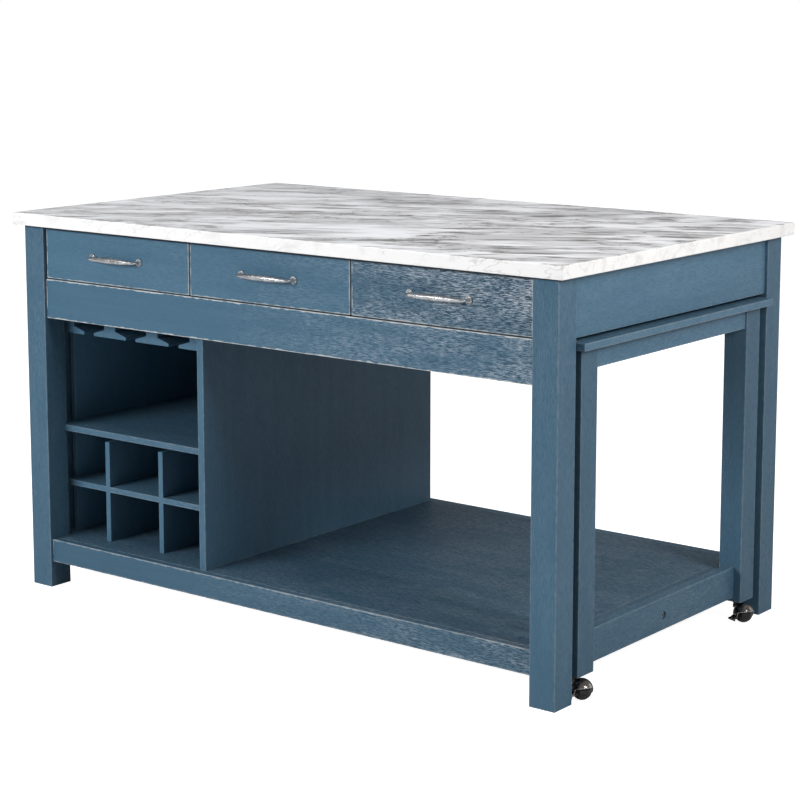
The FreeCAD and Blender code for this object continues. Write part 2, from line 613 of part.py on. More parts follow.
def main():
    os.makedirs("parts", exist_ok=True)
    save("worktop", worktop())
    legs()
    long_rails()
    end_rails()
    save("bottom_shelf", bottom_shelf())
    storage_bay()
    bottle_grid()
    stem_rails()
    drawer_frame()
    drawers()
    leaf()
    casters()


main()
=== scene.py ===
import json
import math

import bmesh
import bpy
import numpy as np
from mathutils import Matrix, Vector


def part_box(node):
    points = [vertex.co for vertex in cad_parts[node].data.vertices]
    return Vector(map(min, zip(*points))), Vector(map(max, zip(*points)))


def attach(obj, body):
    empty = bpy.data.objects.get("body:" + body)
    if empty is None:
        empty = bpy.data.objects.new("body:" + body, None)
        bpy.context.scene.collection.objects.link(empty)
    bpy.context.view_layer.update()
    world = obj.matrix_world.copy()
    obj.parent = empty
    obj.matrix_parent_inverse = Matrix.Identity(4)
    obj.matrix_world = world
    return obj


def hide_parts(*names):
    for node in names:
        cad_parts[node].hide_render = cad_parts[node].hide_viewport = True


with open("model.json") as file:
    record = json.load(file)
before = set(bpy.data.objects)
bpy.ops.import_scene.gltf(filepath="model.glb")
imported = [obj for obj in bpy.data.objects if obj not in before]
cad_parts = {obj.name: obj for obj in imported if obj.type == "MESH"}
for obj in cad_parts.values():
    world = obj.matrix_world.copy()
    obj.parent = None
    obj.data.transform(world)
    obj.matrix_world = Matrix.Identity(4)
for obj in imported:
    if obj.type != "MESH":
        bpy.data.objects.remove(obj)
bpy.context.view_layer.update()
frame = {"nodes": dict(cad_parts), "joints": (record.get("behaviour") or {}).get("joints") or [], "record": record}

bl_info = {
    "name": "Kitchen Island Finishes",
    "version": (1, 0, 0),
    "blender": (4, 5, 0),
    "location": "3D View > Sidebar > Island",
    "description": "Paints, stones and fits out a kitchen island with drawers, a bottle bay and a table leaf",
    "category": "Object",
}

NODES = frame["nodes"]
JOINTS = {joint["name"]: joint for joint in frame["joints"]}
BODY_OF = {node: body for body, group in frame["record"]["behaviour"]["bodies"].items() for node in group}
SIDES = ("front", "back")
DRAWER_NUMBERS = ("1", "2", "3")

# Which way the grain runs on each painted board, and how strongly its pale strokes show at the
# board's left (or front, or lower) end and at its other end. The pale strokes are partly the timber's pale streaks
# and partly a painted highlight of gloss on the brushed ridges.
GRAIN_ALONG_X = {
    "front_rail": (-0.35, 0.56), "back_apron": (0.12, 0.2), "bottom_rail_front": (-0.2, 0.5),
    "bottom_rail_back": (0.12, 0.12), "drawer_front_1": (0.02, 0.06), "drawer_front_2": (0.04, 0.16),
    "drawer_front_3": (0.35, 0.98), "bottom_shelf": (0.15, 0.2), "storage_shelf": (0.1, 0.1),
    "rack_board": (0.1, 0.1), "grid_deck": (0.1, 0.1), "leaf_board": (0.15, 0.15),
}
GRAIN_ALONG_Y = {
    "side_apron_left": (0.12, 0.12), "side_apron_right": (0.05, 0.05), "bottom_rail_left": (0.12, 0.12),
    "bottom_rail_right": (0.1, 0.1), "leaf_apron": (0.06, 0.06), "leaf_stretcher": (0.1, 0.1),
}
GRAIN_ALONG_Z = {
    "leg_front_left": (0.04, 0.08), "leg_front_right": (0.04, 0.08), "leg_back_left": (0.05, 0.05),
    "leg_back_right": (0.05, 0.05), "leaf_leg_front": (0.04, 0.04), "leaf_leg_back": (0.04, 0.04),
    "divider_panel": (0.03, 0.03), "end_panel": (0.10, 0.10), "end_lining": (0.05, 0.05),
    "bay_back_panel": (0.05, 0.05),
}
# How much lighter or darker each board's paint is made (1 is the plain colour): painted light and shade set board
# by board, such as the pale lining inside the bay; and how strongly the pale line on its arrises shows, partly
# rubbed paint and partly a painted highlight.
BOARD_LIGHT_AND_SHADE = {
    "leg_front_left": 0.83, "leg_front_right": 0.85, "leg_back_left": 0.80, "leg_back_right": 0.80,
    "leaf_leg_front": 0.76, "leaf_leg_back": 0.76, "leaf_stretcher": 0.85, "bottom_rail_front": 0.80,
    "bottom_rail_right": 0.72, "bottom_shelf": 0.73, "drawer_front_3": 0.84, "front_rail": 0.93,
    "end_lining": 1.5, "bay_back_panel": 1.1, "storage_shelf": 0.9, "divider_panel": 0.94,
    "side_apron_right": 1.05,
}
# Pale line on each board's arrises: partly rubbed paint, partly a painted highlight of the eased edge.
PLAIN_WEAR_AND_HIGHLIGHT = 0.12
ARRIS_WEAR_AND_HIGHLIGHT = {
    "front_rail": 0.9, "bottom_rail_front": 0.4, "drawer_front_1": 0.6, "drawer_front_2": 0.6,
    "drawer_front_3": 0.6,
}
# Depth of the painted shade: a dark band down the top of each board that meets the worktop, standing in for the
# shadow under its overhang.
UNDER_TOP_SHADE_REACH = 0.008
GROUPED_BOARDS = {"stemware_rails": "Y", "grid_uprights": "Z", "leaf_rails": "X"}
INNER_BOARDS = {"drawer_partitions": "Y", "drawer_cheeks": "Y", "leaf_runners": "X"}
# Numbers of the hardware surfaces, in metres, and how finely the surfaces are cut.
SECTION_SIDES = 36      # points round a rounded box section
RIM_COLUMNS = 160       # points round the hood
ARM_POWER = .55         # squareness of the saddle's section; 1 is an ellipse
PEDAL_POWER = .35
ARM_LEVEL = .0335       # middle of the saddle above the floor
PULL_ARM_RADIUS = .0030
LUG_SPANS = ((-.0080, -.0055), (.0055, .0080))   # each pedal ear along the trail, from the wheel
PULL_FOOT = ((0, 0), (0, .0090), (.0004, .0094), (.0020, .0094), (.0027, .0091), (.0030, .0085),
             (.0026, .0078), (.0017, .0070), (.0013, .0062), (.0014, .0054), (.0020, .0046),
             (.0032, .0039), (.0050, .0034), (.0070, .0031))   # (out from the front, radius)
MERGE_DISTANCE = 1e-6
FLOOR_REACH = 60.0
FLOOR_DROP = .0005      # the floor lies this far under the feet
SENSOR_WIDTH = 36.0     # millimetres
TURN_FOR_GRAIN = {"X": (0, 0, 0), "Y": (0, 0, math.radians(-90)), "Z": (0, math.radians(90), 0)}


# ---------------------------------------------------------------- shader building blocks

def set_sockets(tree, node, sockets):
    """Links or sets the named inputs of a node."""
    for key, value in sockets.items():
        if isinstance(value, bpy.types.NodeSocket):
            tree.links.new(value, node.inputs[key])
        else:
            node.inputs[key].default_value = value


def put(tree, kind, sockets=None, **settings):
    """Adds one shader node, sets its properties, then links or sets the named inputs."""
    node = tree.nodes.new("ShaderNode" + kind)
    for key, value in settings.items():
        setattr(node, key, value)
    set_sockets(tree, node, sockets or {})
    return node


def calc(tree, operation, *values, clamp=False):
    """Math on masks; returns the result socket."""
    node = put(tree, "Math", dict(enumerate(values)), operation=operation, use_clamp=clamp)
    return node.outputs[0]


def vector_calc(tree, operation, *values):
    node = put(tree, "VectorMath", dict(enumerate(values)), operation=operation)
    return node.outputs[0]


def ramp(tree, value, low, high, out_low=0.0, out_high=1.0):
    """Smooth step from out_low below low to out_high above high."""
    sockets = {"Value": value, "From Min": low, "From Max": high, "To Min": out_low, "To Max": out_high}
    return put(tree, "MapRange", sockets, interpolation_type="SMOOTHSTEP").outputs[0]


def mix_colour(tree, factor, first, second, blend="MIX"):
    sockets = {0: factor, 6: first, 7: second}
    return put(tree, "Mix", sockets, data_type="RGBA", blend_type=blend).outputs[2]


def noise(tree, vector, scale=1.0, detail=2.0, roughness=0.5, distortion=0.0):
    sockets = {"Vector": vector, "Scale": scale, "Detail": detail, "Roughness": roughness,
               "Distortion": distortion}
    return put(tree, "TexNoise", sockets).outputs["Fac"]


def stretched(tree, vector, scale):
    """The position scaled unevenly, so a noise read from it is drawn out into streaks."""
    return put(tree, "Mapping", {"Vector": vector, "Scale": scale}).outputs[0]


def make_group(name, inputs, outputs):
    """An empty node group; inputs are (name, socket type, default), outputs (name, socket type)."""
    group = bpy.data.node_groups.new(name, "ShaderNodeTree")
    for label, kind, default in inputs:
        socket = group.interface.new_socket(label, in_out="INPUT", socket_type="NodeSocket" + kind)
        socket.default_value = default
    for label, kind in outputs:
        group.interface.new_socket(label, in_out="OUTPUT", socket_type="NodeSocket" + kind)
    source = group.nodes.new("NodeGroupInput")
    sink = group.nodes.new("NodeGroupOutput")
    return group, source.outputs, sink.inputs


def use_group(tree, name, sockets):
    """Places a copy of a node group in a tree and returns its outputs."""
    node = tree.nodes.new("ShaderNodeGroup")
    node.node_tree = bpy.data.node_groups[name]
    set_sockets(tree, node, sockets)
    return node.outputs


def warped(tree, place, source, scale, detail, amount):
    """The position pushed about by a slow noise read at source, by an amount on each axis."""
    shift = put(tree, "TexNoise", {"Vector": source, "Scale": scale, "Detail": detail}).outputs["Color"]
    shift = vector_calc(tree, "SUBTRACT", shift, (0.5, 0.5, 0.5))
    return vector_calc(tree, "ADD", place, vector_calc(tree, "MULTIPLY", shift, amount))


def give(group, out, **results):
    """Links each result to the group output of that name."""
    for label, socket in results.items():
        group.links.new(socket, out[label])


def build_grain_group():
    """Open-pored timber brushed along local X: narrow streaks drawn out along the grain, cut by short
    strokes that gather in patches, over a slow drift in tone. The materials colour the strokes pale: partly the
    timber's pale streaks, partly a painted highlight of gloss on the brushed ridges."""
    group, given, out = make_group(
        "Brushed Grain", [("Position", "Vector", (0, 0, 0))],
        [("Pore", "Float"), ("Stroke", "Float"), ("Tone", "Float"), ("Height", "Float")])
    place = given["Position"]
    place = warped(group, place, place, 5.0, 1.0, (0.0, 0.016, 0.016))
    fine = noise(group, stretched(group, place, (110, 1500, 1500)), detail=1, roughness=0.6)
    middle = noise(group, stretched(group, place, (62, 780, 780)), detail=2, roughness=0.75)
    broad = noise(group, stretched(group, place, (2.4, 40, 40)), detail=4, roughness=0.6)
    patch = noise(group, stretched(group, place, (6, 22, 22)), detail=3, roughness=0.6)
    stroke = ramp(group, middle, 0.49, 0.58)
    stroke = calc(group, "MULTIPLY", stroke, ramp(group, patch, 0.34, 0.60, 0.30, 1.0))
    pore = calc(group, "MAXIMUM", ramp(group, fine, 0.45, 0.34), ramp(group, middle, 0.48, 0.39))
    height = calc(group, "MULTIPLY_ADD", fine, 0.45, calc(group, "MULTIPLY", middle, 0.8))
    tone = calc(group, "MULTIPLY_ADD", broad, 0.75, calc(group, "MULTIPLY", patch, 0.25))
    give(group, out, Pore=pore, Stroke=stroke, Tone=tone, Height=height)


def build_edge_group():
    """A mask along the arrises of a rectangular board, for its pale line of rubbed paint and painted highlight:
    the distance to the nearest of its twelve edges is the second smallest distance to its six faces, broken up by
    noise."""
    group, given, out = make_group(
        "Arris Wear And Highlight", [("Position", "Vector", (0, 0, 0)), ("Centre", "Vector", (0, 0, 0)),
                      ("Half Size", "Vector", (1, 1, 1)), ("Width", "Float", 0.002)],
        [("Wear", "Float")])
    place = given["Position"]
    offset = vector_calc(group, "ABSOLUTE", vector_calc(group, "SUBTRACT", place, given["Centre"]))
    depth = vector_calc(group, "SUBTRACT", given["Half Size"], offset)
    axes = put(group, "SeparateXYZ", {0: depth}).outputs
    lower = calc(group, "MINIMUM", axes[0], axes[1])
    upper = calc(group, "MAXIMUM", axes[0], axes[1])
    second = calc(group, "MAXIMUM", lower, calc(group, "MINIMUM", upper, axes[2]))
    rough = noise(group, place, scale=70, detail=3)
    width = calc(group, "MULTIPLY", given["Width"], ramp(group, rough, 0.3, 0.7, 0.35, 1.5))
    near = calc(group, "DIVIDE", second, width)
    give(group, out, Wear=ramp(group, near, 1.0, 0.45))


def build_marble_group():
    """Streaked marble: slanting sheets of noise drawn out along local X and bent by a slower noise.
    A vein is where that noise crosses its middle value, so it runs as a thin closed line."""
    group, given, out = make_group(
        "Streaked Marble", [("Position", "Vector", (0, 0, 0))],
        [("Cloud", "Float"), ("Vein", "Float"), ("Brown", "Float"), ("Fleck", "Float")])
    place = given["Position"]
    place = warped(group, place, stretched(group, place, (2.2, 5, 5)), 1.0, 2.0, (0.0, 0.085, 0.085))
    cloud = noise(group, stretched(group, place, (1.2, 13, 13)), detail=3, roughness=0.6)
    streak = noise(group, stretched(group, place, (0.95, 27, 27)), detail=4, roughness=0.62)
    thin = noise(group, stretched(group, place, (0.85, 30, 30)), detail=3, roughness=0.55)
    line = calc(group, "ABSOLUTE", calc(group, "SUBTRACT", thin, 0.5))
    thread = calc(group, "MULTIPLY", ramp(group, line, 0.026, 0.0), ramp(group, cloud, 0.40, 0.60))
    body = ramp(group, streak, 0.50, 0.70)
    vein = calc(group, "MAXIMUM", calc(group, "MULTIPLY", body, 0.85), calc(group, "MULTIPLY", thread, 0.9))
    where = noise(group, stretched(group, place, (2, 6, 6)), detail=1)
    brown = calc(group, "MULTIPLY", thread, ramp(group, where, 0.38, 0.55))
    give(group, out, Cloud=cloud, Vein=vein, Brown=brown, Fleck=noise(group, place, scale=900, detail=1))


def build_metal_group():
    """Satin metal: soft smudges, fine scratches in two directions and sparse pits."""
    group, given, out = make_group(
        "Satin Metal", [("Position", "Vector", (0, 0, 0)), ("Size", "Float", 1.0)],
        [("Smudge", "Float"), ("Scratch", "Float"), ("Pit", "Float")])
    place = vector_calc(group, "SCALE", given["Position"])
    group.links.new(given["Size"], place.node.inputs["Scale"])
    smudge = noise(group, place, scale=55, detail=3)
    first = noise(group, stretched(group, place, (90, 2100, 900)), detail=1)
    second = noise(group, stretched(group, place, (1700, 120, 1300)), detail=1)
    scratch = calc(group, "MAXIMUM", ramp(group, first, 0.62, 0.72), ramp(group, second, 0.63, 0.74))
    pit = ramp(group, noise(group, place, scale=520, detail=1), 0.66, 0.76)
    give(group, out, Smudge=smudge, Scratch=scratch, Pit=pit)


def start_material(name):
    """A new node material; returns it with its tree, its shader and its Object coordinates."""
    material = bpy.data.materials.new(name)
    material.use_nodes = True
    tree = material.node_tree
    shader = tree.nodes["Principled BSDF"]
    place = put(tree, "TexCoord").outputs["Object"]
    return material, tree, shader, place


def set_finish(tree, shader, colour, rough):
    """Links a colour and a roughness to the shader."""
    set_sockets(tree, shader, {"Base Color": colour, "Roughness": rough})


def add_relief(tree, shader, height, depth, strength=1.0):
    bump = put(tree, "Bump", {"Height": height, "Distance": depth, "Strength": strength})
    tree.links.new(bump.outputs[0], shader.inputs["Normal"])


def shift_for(name):
    """A steady offset taken from the letters of a name, so no two boards share a pattern."""
    total = sum((index + 3) * ord(letter) for index, letter in enumerate(name))
    return ((total * 0.371) % 7.0, (total * 0.193) % 5.0, (total * 0.517) % 6.0)


def finish_node(node, material):
    """Puts a material on every face of a frame node."""
    NODES[node].data.materials.clear()
    NODES[node].data.materials.append(material)


def toned(colour, tone):
    """A colour made deeper or paler by one factor, its alpha kept."""
    return (colour[0] * tone, colour[1] * tone, colour[2] * tone, 1)


def paint_material(node, along, offset=(0, 0, 0)):
    """Starts a paint material; returns it with its tree, shader, position and grain."""
    material, tree, shader, place = start_material("Painted " + node)
    turned = put(tree, "Mapping", {"Vector": place, "Rotation": TURN_FOR_GRAIN[along],
                                   "Location": offset}).outputs[0]
    return material, tree, shader, place, use_group(tree, "Brushed Grain", {"Position": turned})


def paint_colour(tree, look, grain, pores, glint, tone):
    """Paint colour from its broad tone, dark pores and pale strokes, by the share of each. The last argument makes
    the paint lighter or darker as painted light and shade; the pale strokes are partly a painted highlight.
    """
    colour = mix_colour(tree, ramp(tree, grain["Tone"], 0.3, 0.7), toned(look.colour_deep, tone),
                        toned(look.colour, tone))
    colour = mix_colour(tree, pores, colour, toned(look.colour_pore, tone))
    # Pale strokes in the colour: partly the timber's pale streaks, partly a painted highlight.
    return mix_colour(tree, glint, colour, tuple(look.colour_stroke_and_glint))


def finish_paint(node, look, material, tree, shader, grain, colour, rough):
    """The last steps of a painted board: colour, gloss, relief and its slot."""
    set_finish(tree, shader, colour, rough)
    shader.inputs["Specular IOR Level"].default_value = look.sheen
    add_relief(tree, shader, grain["Height"], look.grain_depth)
    finish_node(node, material)


def painted_timber(node, along, strokes):
    """Blue paint brushed over open-grained wood. Its arrises are pale, partly rubbed paint and partly a painted
    highlight of the eased edges; boards under the worktop get painted shade along their top.
    """
    look = bpy.context.scene.island_paint
    material, tree, shader, place, grain = paint_material(node, along, shift_for(node))
    low, high = (tuple(float(value) for value in corner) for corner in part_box(node))
    middle = tuple((a + b) / 2 for a, b in zip(low, high))
    half = tuple((b - a) / 2 for a, b in zip(low, high))
    edge = use_group(tree, "Arris Wear And Highlight", {"Position": place, "Centre": middle, "Half Size": half,
                                         "Width": look.arris_line_width})
    axis = "XYZ".index(along)
    run = put(tree, "SeparateXYZ", {0: place}).outputs[axis]
    share = put(tree, "MapRange", {"Value": run, "From Min": low[axis], "From Max": high[axis],
                                   "To Min": strokes[0], "To Max": strokes[1]}).outputs[0]
    share = calc(tree, "MULTIPLY", calc(tree, "MAXIMUM", share, 0.0), look.stroke_strength)
    pores = calc(tree, "MULTIPLY", grain["Pore"], calc(tree, "MULTIPLY_ADD", share, 1.3, look.pore_strength))
    glint = calc(tree, "MULTIPLY", grain["Stroke"], share)
    # The board's tone factor is painted light and shade: it makes this board's paint lighter or darker.
    colour = paint_colour(tree, look, grain, calc(tree, "MINIMUM", pores, 1.0), glint,
                          BOARD_LIGHT_AND_SHADE.get(node, 1.0))
    # Pale arrises: partly rubbed paint, partly a painted highlight of the eased edges.
    worn_and_lit = calc(tree, "MULTIPLY", edge["Wear"], ARRIS_WEAR_AND_HIGHLIGHT.get(node, PLAIN_WEAR_AND_HIGHLIGHT))
    colour = mix_colour(tree, worn_and_lit, colour, tuple(look.colour_worn_and_lit))
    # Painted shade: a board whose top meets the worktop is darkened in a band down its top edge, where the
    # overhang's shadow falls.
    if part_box("worktop")[0][2] - high[2] < UNDER_TOP_SHADE_REACH:
        height = put(tree, "SeparateXYZ", {0: place}).outputs[2]
        under_top_shade = ramp(tree, height, high[2] - UNDER_TOP_SHADE_REACH, high[2] - UNDER_TOP_SHADE_REACH / 2)
        colour = mix_colour(tree, calc(tree, "MULTIPLY", under_top_shade, 0.9), colour, tuple(look.colour_under_top_shade))
    rough = calc(tree, "MULTIPLY_ADD", grain["Pore"], 0.22, look.roughness)
    rough = calc(tree, "MULTIPLY_ADD", glint, -0.12, rough)
    finish_paint(node, look, material, tree, shader, grain, colour, rough)


def painted_timber_group(node, along):
    """The same paint on a node of several like boards, where one box can't give the arrises."""
    look = bpy.context.scene.island_paint
    material, tree, shader, _, grain = paint_material(node, along)
    pores = calc(tree, "MULTIPLY", grain["Pore"], look.pore_strength)
    glint = calc(tree, "MULTIPLY", grain["Stroke"], look.stroke_strength * 0.05)
    colour = paint_colour(tree, look, grain, pores, glint, 1.0)
    rough = calc(tree, "MULTIPLY_ADD", grain["Pore"], 0.2, look.roughness)
    finish_paint(node, look, material, tree, shader, grain, colour, rough)


def bare_timber(name, along, light, dark):
    """Clear-sealed wood: annual bands, dark pores and a little sheen."""
    material, tree, shader, place = start_material(name)
    turned = put(tree, "Mapping", {"Vector": place, "Rotation": TURN_FOR_GRAIN[along]}).outputs[0]
    grain = use_group(tree, "Brushed Grain", {"Position": turned})
    colour = mix_colour(tree, ramp(tree, grain["Tone"], 0.3, 0.7), light, dark)
    colour = mix_colour(tree, calc(tree, "MULTIPLY", grain["Pore"], 0.35), colour,
                        (dark[0] * 0.6, dark[1] * 0.55, dark[2] * 0.5, 1))
    set_finish(tree, shader, colour, calc(tree, "MULTIPLY_ADD", grain["Pore"], 0.2, 0.42))
    add_relief(tree, shader, grain["Height"], 0.0002)
    return material


def marble():
    """Polished marble slab with a clear polish. Its top face is made greyer and clouded as painted shade, and its
    edges paler with fainter veins as painted light, as the light fell on them.
    """
    look = bpy.context.scene.island_marble
    material, tree, shader, place = start_material("Streaked marble")
    lay = put(tree, "Mapping", {"Vector": place, "Location": (0.3, 0.1, 0.0), "Rotation": (
        math.radians(-look.vein_dip), 0, math.radians(-look.vein_heading))}).outputs[0]
    stone = use_group(tree, "Streaked Marble", {"Position": lay})
    # Painted light and shade: the upward face gets the clouded, greyer ground and full veins, the edges a paler
    # plain ground with faint veins.
    up = put(tree, "SeparateXYZ", {0: put(tree, "NewGeometry").outputs["True Normal"]}).outputs[2]
    face = ramp(tree, up, 0.5, 0.9)
    run = put(tree, "SeparateXYZ", {0: place}).outputs[0]
    run = put(tree, "MapRange", {"Value": run, "From Min": -0.75, "From Max": 0.75, "To Min": 0.9,
                                 "To Max": 1.8}).outputs[0]
    cloudy = calc(tree, "MULTIPLY", ramp(tree, stone["Cloud"], 0.35, 0.7), run, clamp=True)
    ground = mix_colour(tree, cloudy, tuple(look.ground), tuple(look.cloud))
    ground = mix_colour(tree, face, tuple(look.edge), ground)
    amount = calc(tree, "MULTIPLY", stone["Vein"], calc(tree, "MULTIPLY_ADD", face, 0.85, 0.15))
    colour = mix_colour(tree, calc(tree, "MULTIPLY", amount, run, clamp=True), ground, tuple(look.vein))
    brown = calc(tree, "MULTIPLY", stone["Brown"], calc(tree, "MULTIPLY_ADD", face, 0.7, 0.1))
    colour = mix_colour(tree, brown, colour, tuple(look.brown))
    set_finish(tree, shader, colour, calc(tree, "MULTIPLY_ADD", stone["Fleck"], 0.12, 0.26))
    add_relief(tree, shader, calc(tree, "MULTIPLY_ADD", stone["Vein"], -0.4, stone["Fleck"]), 0.00008)
    return material


def metal(name, colour, dark, roughness, size=1.0, dimples=0.0):
    """Plated metal with smudges, fine scratches and pits, and dimples of a given depth if cast."""
    material, tree, shader, place = start_material(name)
    wear = use_group(tree, "Satin Metal", {"Position": place, "Size": size})
    shade = mix_colour(tree, ramp(tree, wear["Smudge"], 0.3, 0.75), colour, dark)
    shade = mix_colour(tree, calc(tree, "MULTIPLY", wear["Pit"], 0.5), shade, dark)
    rough = calc(tree, "MULTIPLY_ADD", wear["Smudge"], 0.16, roughness - 0.08)
    rough = calc(tree, "MULTIPLY_ADD", wear["Scratch"], 0.12, rough)
    set_finish(tree, shader, shade, rough)
    shader.inputs["Metallic"].default_value = 1.0
    relief = calc(tree, "MULTIPLY", calc(tree, "MAXIMUM", wear["Scratch"], wear["Pit"]), -0.00003)
    if dimples:
        relief = calc(tree, "MULTIPLY_ADD", noise(tree, place, scale=420, detail=2), dimples, relief)
    add_relief(tree, shader, relief, 1.0)
    return material


def tread_plastic():
    """Dark moulded tyre plastic, dusty and lightly scuffed."""
    material, tree, shader, place = start_material("Wheel tread")
    wear = use_group(tree, "Satin Metal", {"Position": place, "Size": 0.6})
    colour = mix_colour(tree, ramp(tree, wear["Smudge"], 0.35, 0.7), (0.006, 0.006, 0.006, 1),
                        (0.016, 0.015, 0.015, 1))
    colour = mix_colour(tree, calc(tree, "MULTIPLY", wear["Scratch"], 0.3), colour, (0.12, 0.12, 0.12, 1))
    set_finish(tree, shader, colour, calc(tree, "MULTIPLY_ADD", wear["Smudge"], 0.2, 0.10))
    relief = calc(tree, "MULTIPLY_ADD", noise(tree, place, scale=380, detail=1), 3.0, wear["Scratch"])
    add_relief(tree, shader, relief, 0.00006)
    return material


# ---------------------------------------------------------------- surfaces worked out with numpy

def grid_quads(rows, columns, wrap_rows=False, wrap_columns=True):
    """Quads of a rows x columns grid of points numbered row by row; either way round may close."""
    row = np.arange(rows if wrap_rows else rows - 1)
    column = np.arange(columns if wrap_columns else columns - 1)
    r, c = np.meshgrid(row, column, indexing="ij")
    r1, c1 = (r + 1) % rows, (c + 1) % columns
    corners = [r * columns + c, r * columns + c1, r1 * columns + c1, r1 * columns + c]
    return np.stack(corners, -1).reshape(-1, 4)


def sweep(centres, across, up, radii, sides=32):
    """A round profile carried along a path: ring i is centres[i] + radii[i] (cos u across[i] + sin u up[i]).
    Returns points and quads; a ring of no radius closes an end."""
    turn = np.linspace(0, 2 * np.pi, sides, endpoint=False)
    ring = (np.cos(turn)[None, :, None] * across[:, None, :] + np.sin(turn)[None, :, None] * up[:, None, :])
    points = centres[:, None, :] + radii[:, None, None] * ring
    return points.reshape(-1, 3), grid_quads(len(centres), sides)


def lathe(origin, axis, side, profile, sides=48):
    """A profile of (distance along axis, radius) turned round the axis through origin."""
    profile = np.asarray(profile, float)
    axis, side = np.asarray(axis, float), np.asarray(side, float)
    other = np.cross(axis, side)
    centres = np.asarray(origin, float) + profile[:, :1] * axis
    count = len(profile)
    return sweep(centres, np.tile(side, (count, 1)), np.tile(other, (count, 1)), profile[:, 1], sides)


def join_shells(*shells):
    """Several (points, faces) as one; faces keep to their own shell."""
    points, faces, start = [], [], 0
    for own_points, own_faces in shells:
        points.append(own_points)
        faces.append(own_faces + start)
        start += len(own_points)
    return np.concatenate(points), np.concatenate(faces)


def rounded_profile(corners, radius, steps=4):
    """A profile whose inner corners are rounded: each corner becomes a short curve between points
    a set distance before and after it."""
    corners = np.asarray(corners, float)
    before, here, after = corners[:-2], corners[1:-1], corners[2:]
    to_before, to_after = before - here, after - here
    length_before = np.linalg.norm(to_before, axis=1, keepdims=True)
    length_after = np.linalg.norm(to_after, axis=1, keepdims=True)
    reach = np.minimum(radius, 0.45 * np.minimum(length_before, length_after))
    start, end = here + to_before / length_before * reach, here + to_after / length_after * reach
    t = np.linspace(0, 1, steps + 1)[None, :, None]
    curve = (1 - t) ** 2 * start[:, None] + 2 * t * (1 - t) * here[:, None] + t ** 2 * end[:, None]
    return np.concatenate([corners[:1], curve.reshape(-1, 2), corners[-1:]])


def make_piece(name, points, faces, material, smooth_angle=40.0):
    """Puts a computed surface into a mesh object, merges closed poles and shades it smooth."""
    mesh = bpy.data.meshes.new(name)
    mesh.from_pydata(points.tolist(), [], faces.tolist())
    mesh.materials.append(material)
    piece = bpy.data.objects.new(name, mesh)
    bpy.context.scene.collection.objects.link(piece)
    work = bmesh.new()
    work.from_mesh(mesh)
    bmesh.ops.remove_doubles(work, verts=work.verts, dist=MERGE_DISTANCE)
    bmesh.ops.dissolve_degenerate(work, edges=work.edges, dist=1e-7)
    bmesh.ops.recalc_face_normals(work, faces=work.faces)
    work.to_mesh(mesh)
    work.free()
    mesh.shade_smooth()
    mesh.set_sharp_from_angle(angle=math.radians(smooth_angle))
    return piece


def unit(vector):
    vector = np.asarray(vector, float)
    return vector / np.linalg.norm(vector)


def pull_surface(centre, face_y, look):
    """The pull as one sweep: out from the left foot, a quarter turn, along the grip and back.
    The path's direction turns through 180 degrees, and the radius is a table along each stretch."""
    half, bend, out = look.pull_span / 2, look.pull_bend, look.pull_out
    foot = np.array(PULL_FOOT)
    arm_steps, bend_steps, grip_steps = 3, 14, 61
    arm = np.stack([np.linspace(.0074, out - bend, arm_steps), np.full(arm_steps, PULL_ARM_RADIUS)], 1)
    turn = np.linspace(0, np.pi / 2, bend_steps)[1:]
    s = np.linspace(-1, 1, grip_steps)[1:-1]
    swell = look.grip_end + (look.grip_middle - look.grip_end) * (1 - np.abs(s) ** 2.2)
    collar = .0011 * np.exp(-((1 - np.abs(s)) / .022) ** 2)
    grip_radius = swell + collar
    stub_y = -np.concatenate([foot[:, 0], arm[:, 0]])
    stub_radius = np.concatenate([foot[:, 1], arm[:, 1]])
    stub = np.stack([np.full(len(stub_y), -half), stub_y], 1)
    stub_side = np.tile((-1.0, 0.0), (len(stub_y), 1))
    curve = np.stack([-half + bend * (1 - np.cos(turn)), -(out - bend) - bend * np.sin(turn)], 1)
    curve_side = np.stack([-np.cos(turn), -np.sin(turn)], 1)
    curve_radius = PULL_ARM_RADIUS + (look.grip_end - PULL_ARM_RADIUS) * (turn / (np.pi / 2)) ** 1.5
    grip = np.stack([s * (half - bend), np.full(len(s), -out)], 1)
    grip_side = np.tile((0.0, -1.0), (len(s), 1))
    mirror = np.array((-1.0, 1.0))
    path = np.concatenate([stub, curve, grip, curve[::-1] * mirror, stub[::-1] * mirror])
    side = np.concatenate([stub_side, curve_side, grip_side, curve_side[::-1] * mirror,
                           stub_side[::-1] * mirror])
    radii = np.concatenate([stub_radius, curve_radius, grip_radius, curve_radius[::-1], stub_radius[::-1]])
    centres = np.stack([centre[0] + path[:, 0], face_y + path[:, 1], np.full(len(path), centre[2])], 1)
    across = np.stack([side[:, 0], side[:, 1], np.zeros(len(side))], 1)
    up = np.tile((0.0, 0.0, 1.0), (len(side), 1))
    return sweep(centres, across, up, radii, 32)


def screw_surface(foot, head_y, tip_y):
    """Pan-head screw: a domed head on the inner face and a shank to the pull."""
    reach = head_y - tip_y
    profile = [(0, 0), (0, .0011), (.0006, .0013), (.0006, .0019), (reach, .0019), (reach, .0040),
               (reach + .0008, .0040), (reach + .0018, .0034), (reach + .0024, .0020), (reach + .0024, 0)]
    return lathe((foot[0], tip_y, foot[2]), (0, 1, 0), (1, 0, 0), profile, 24)


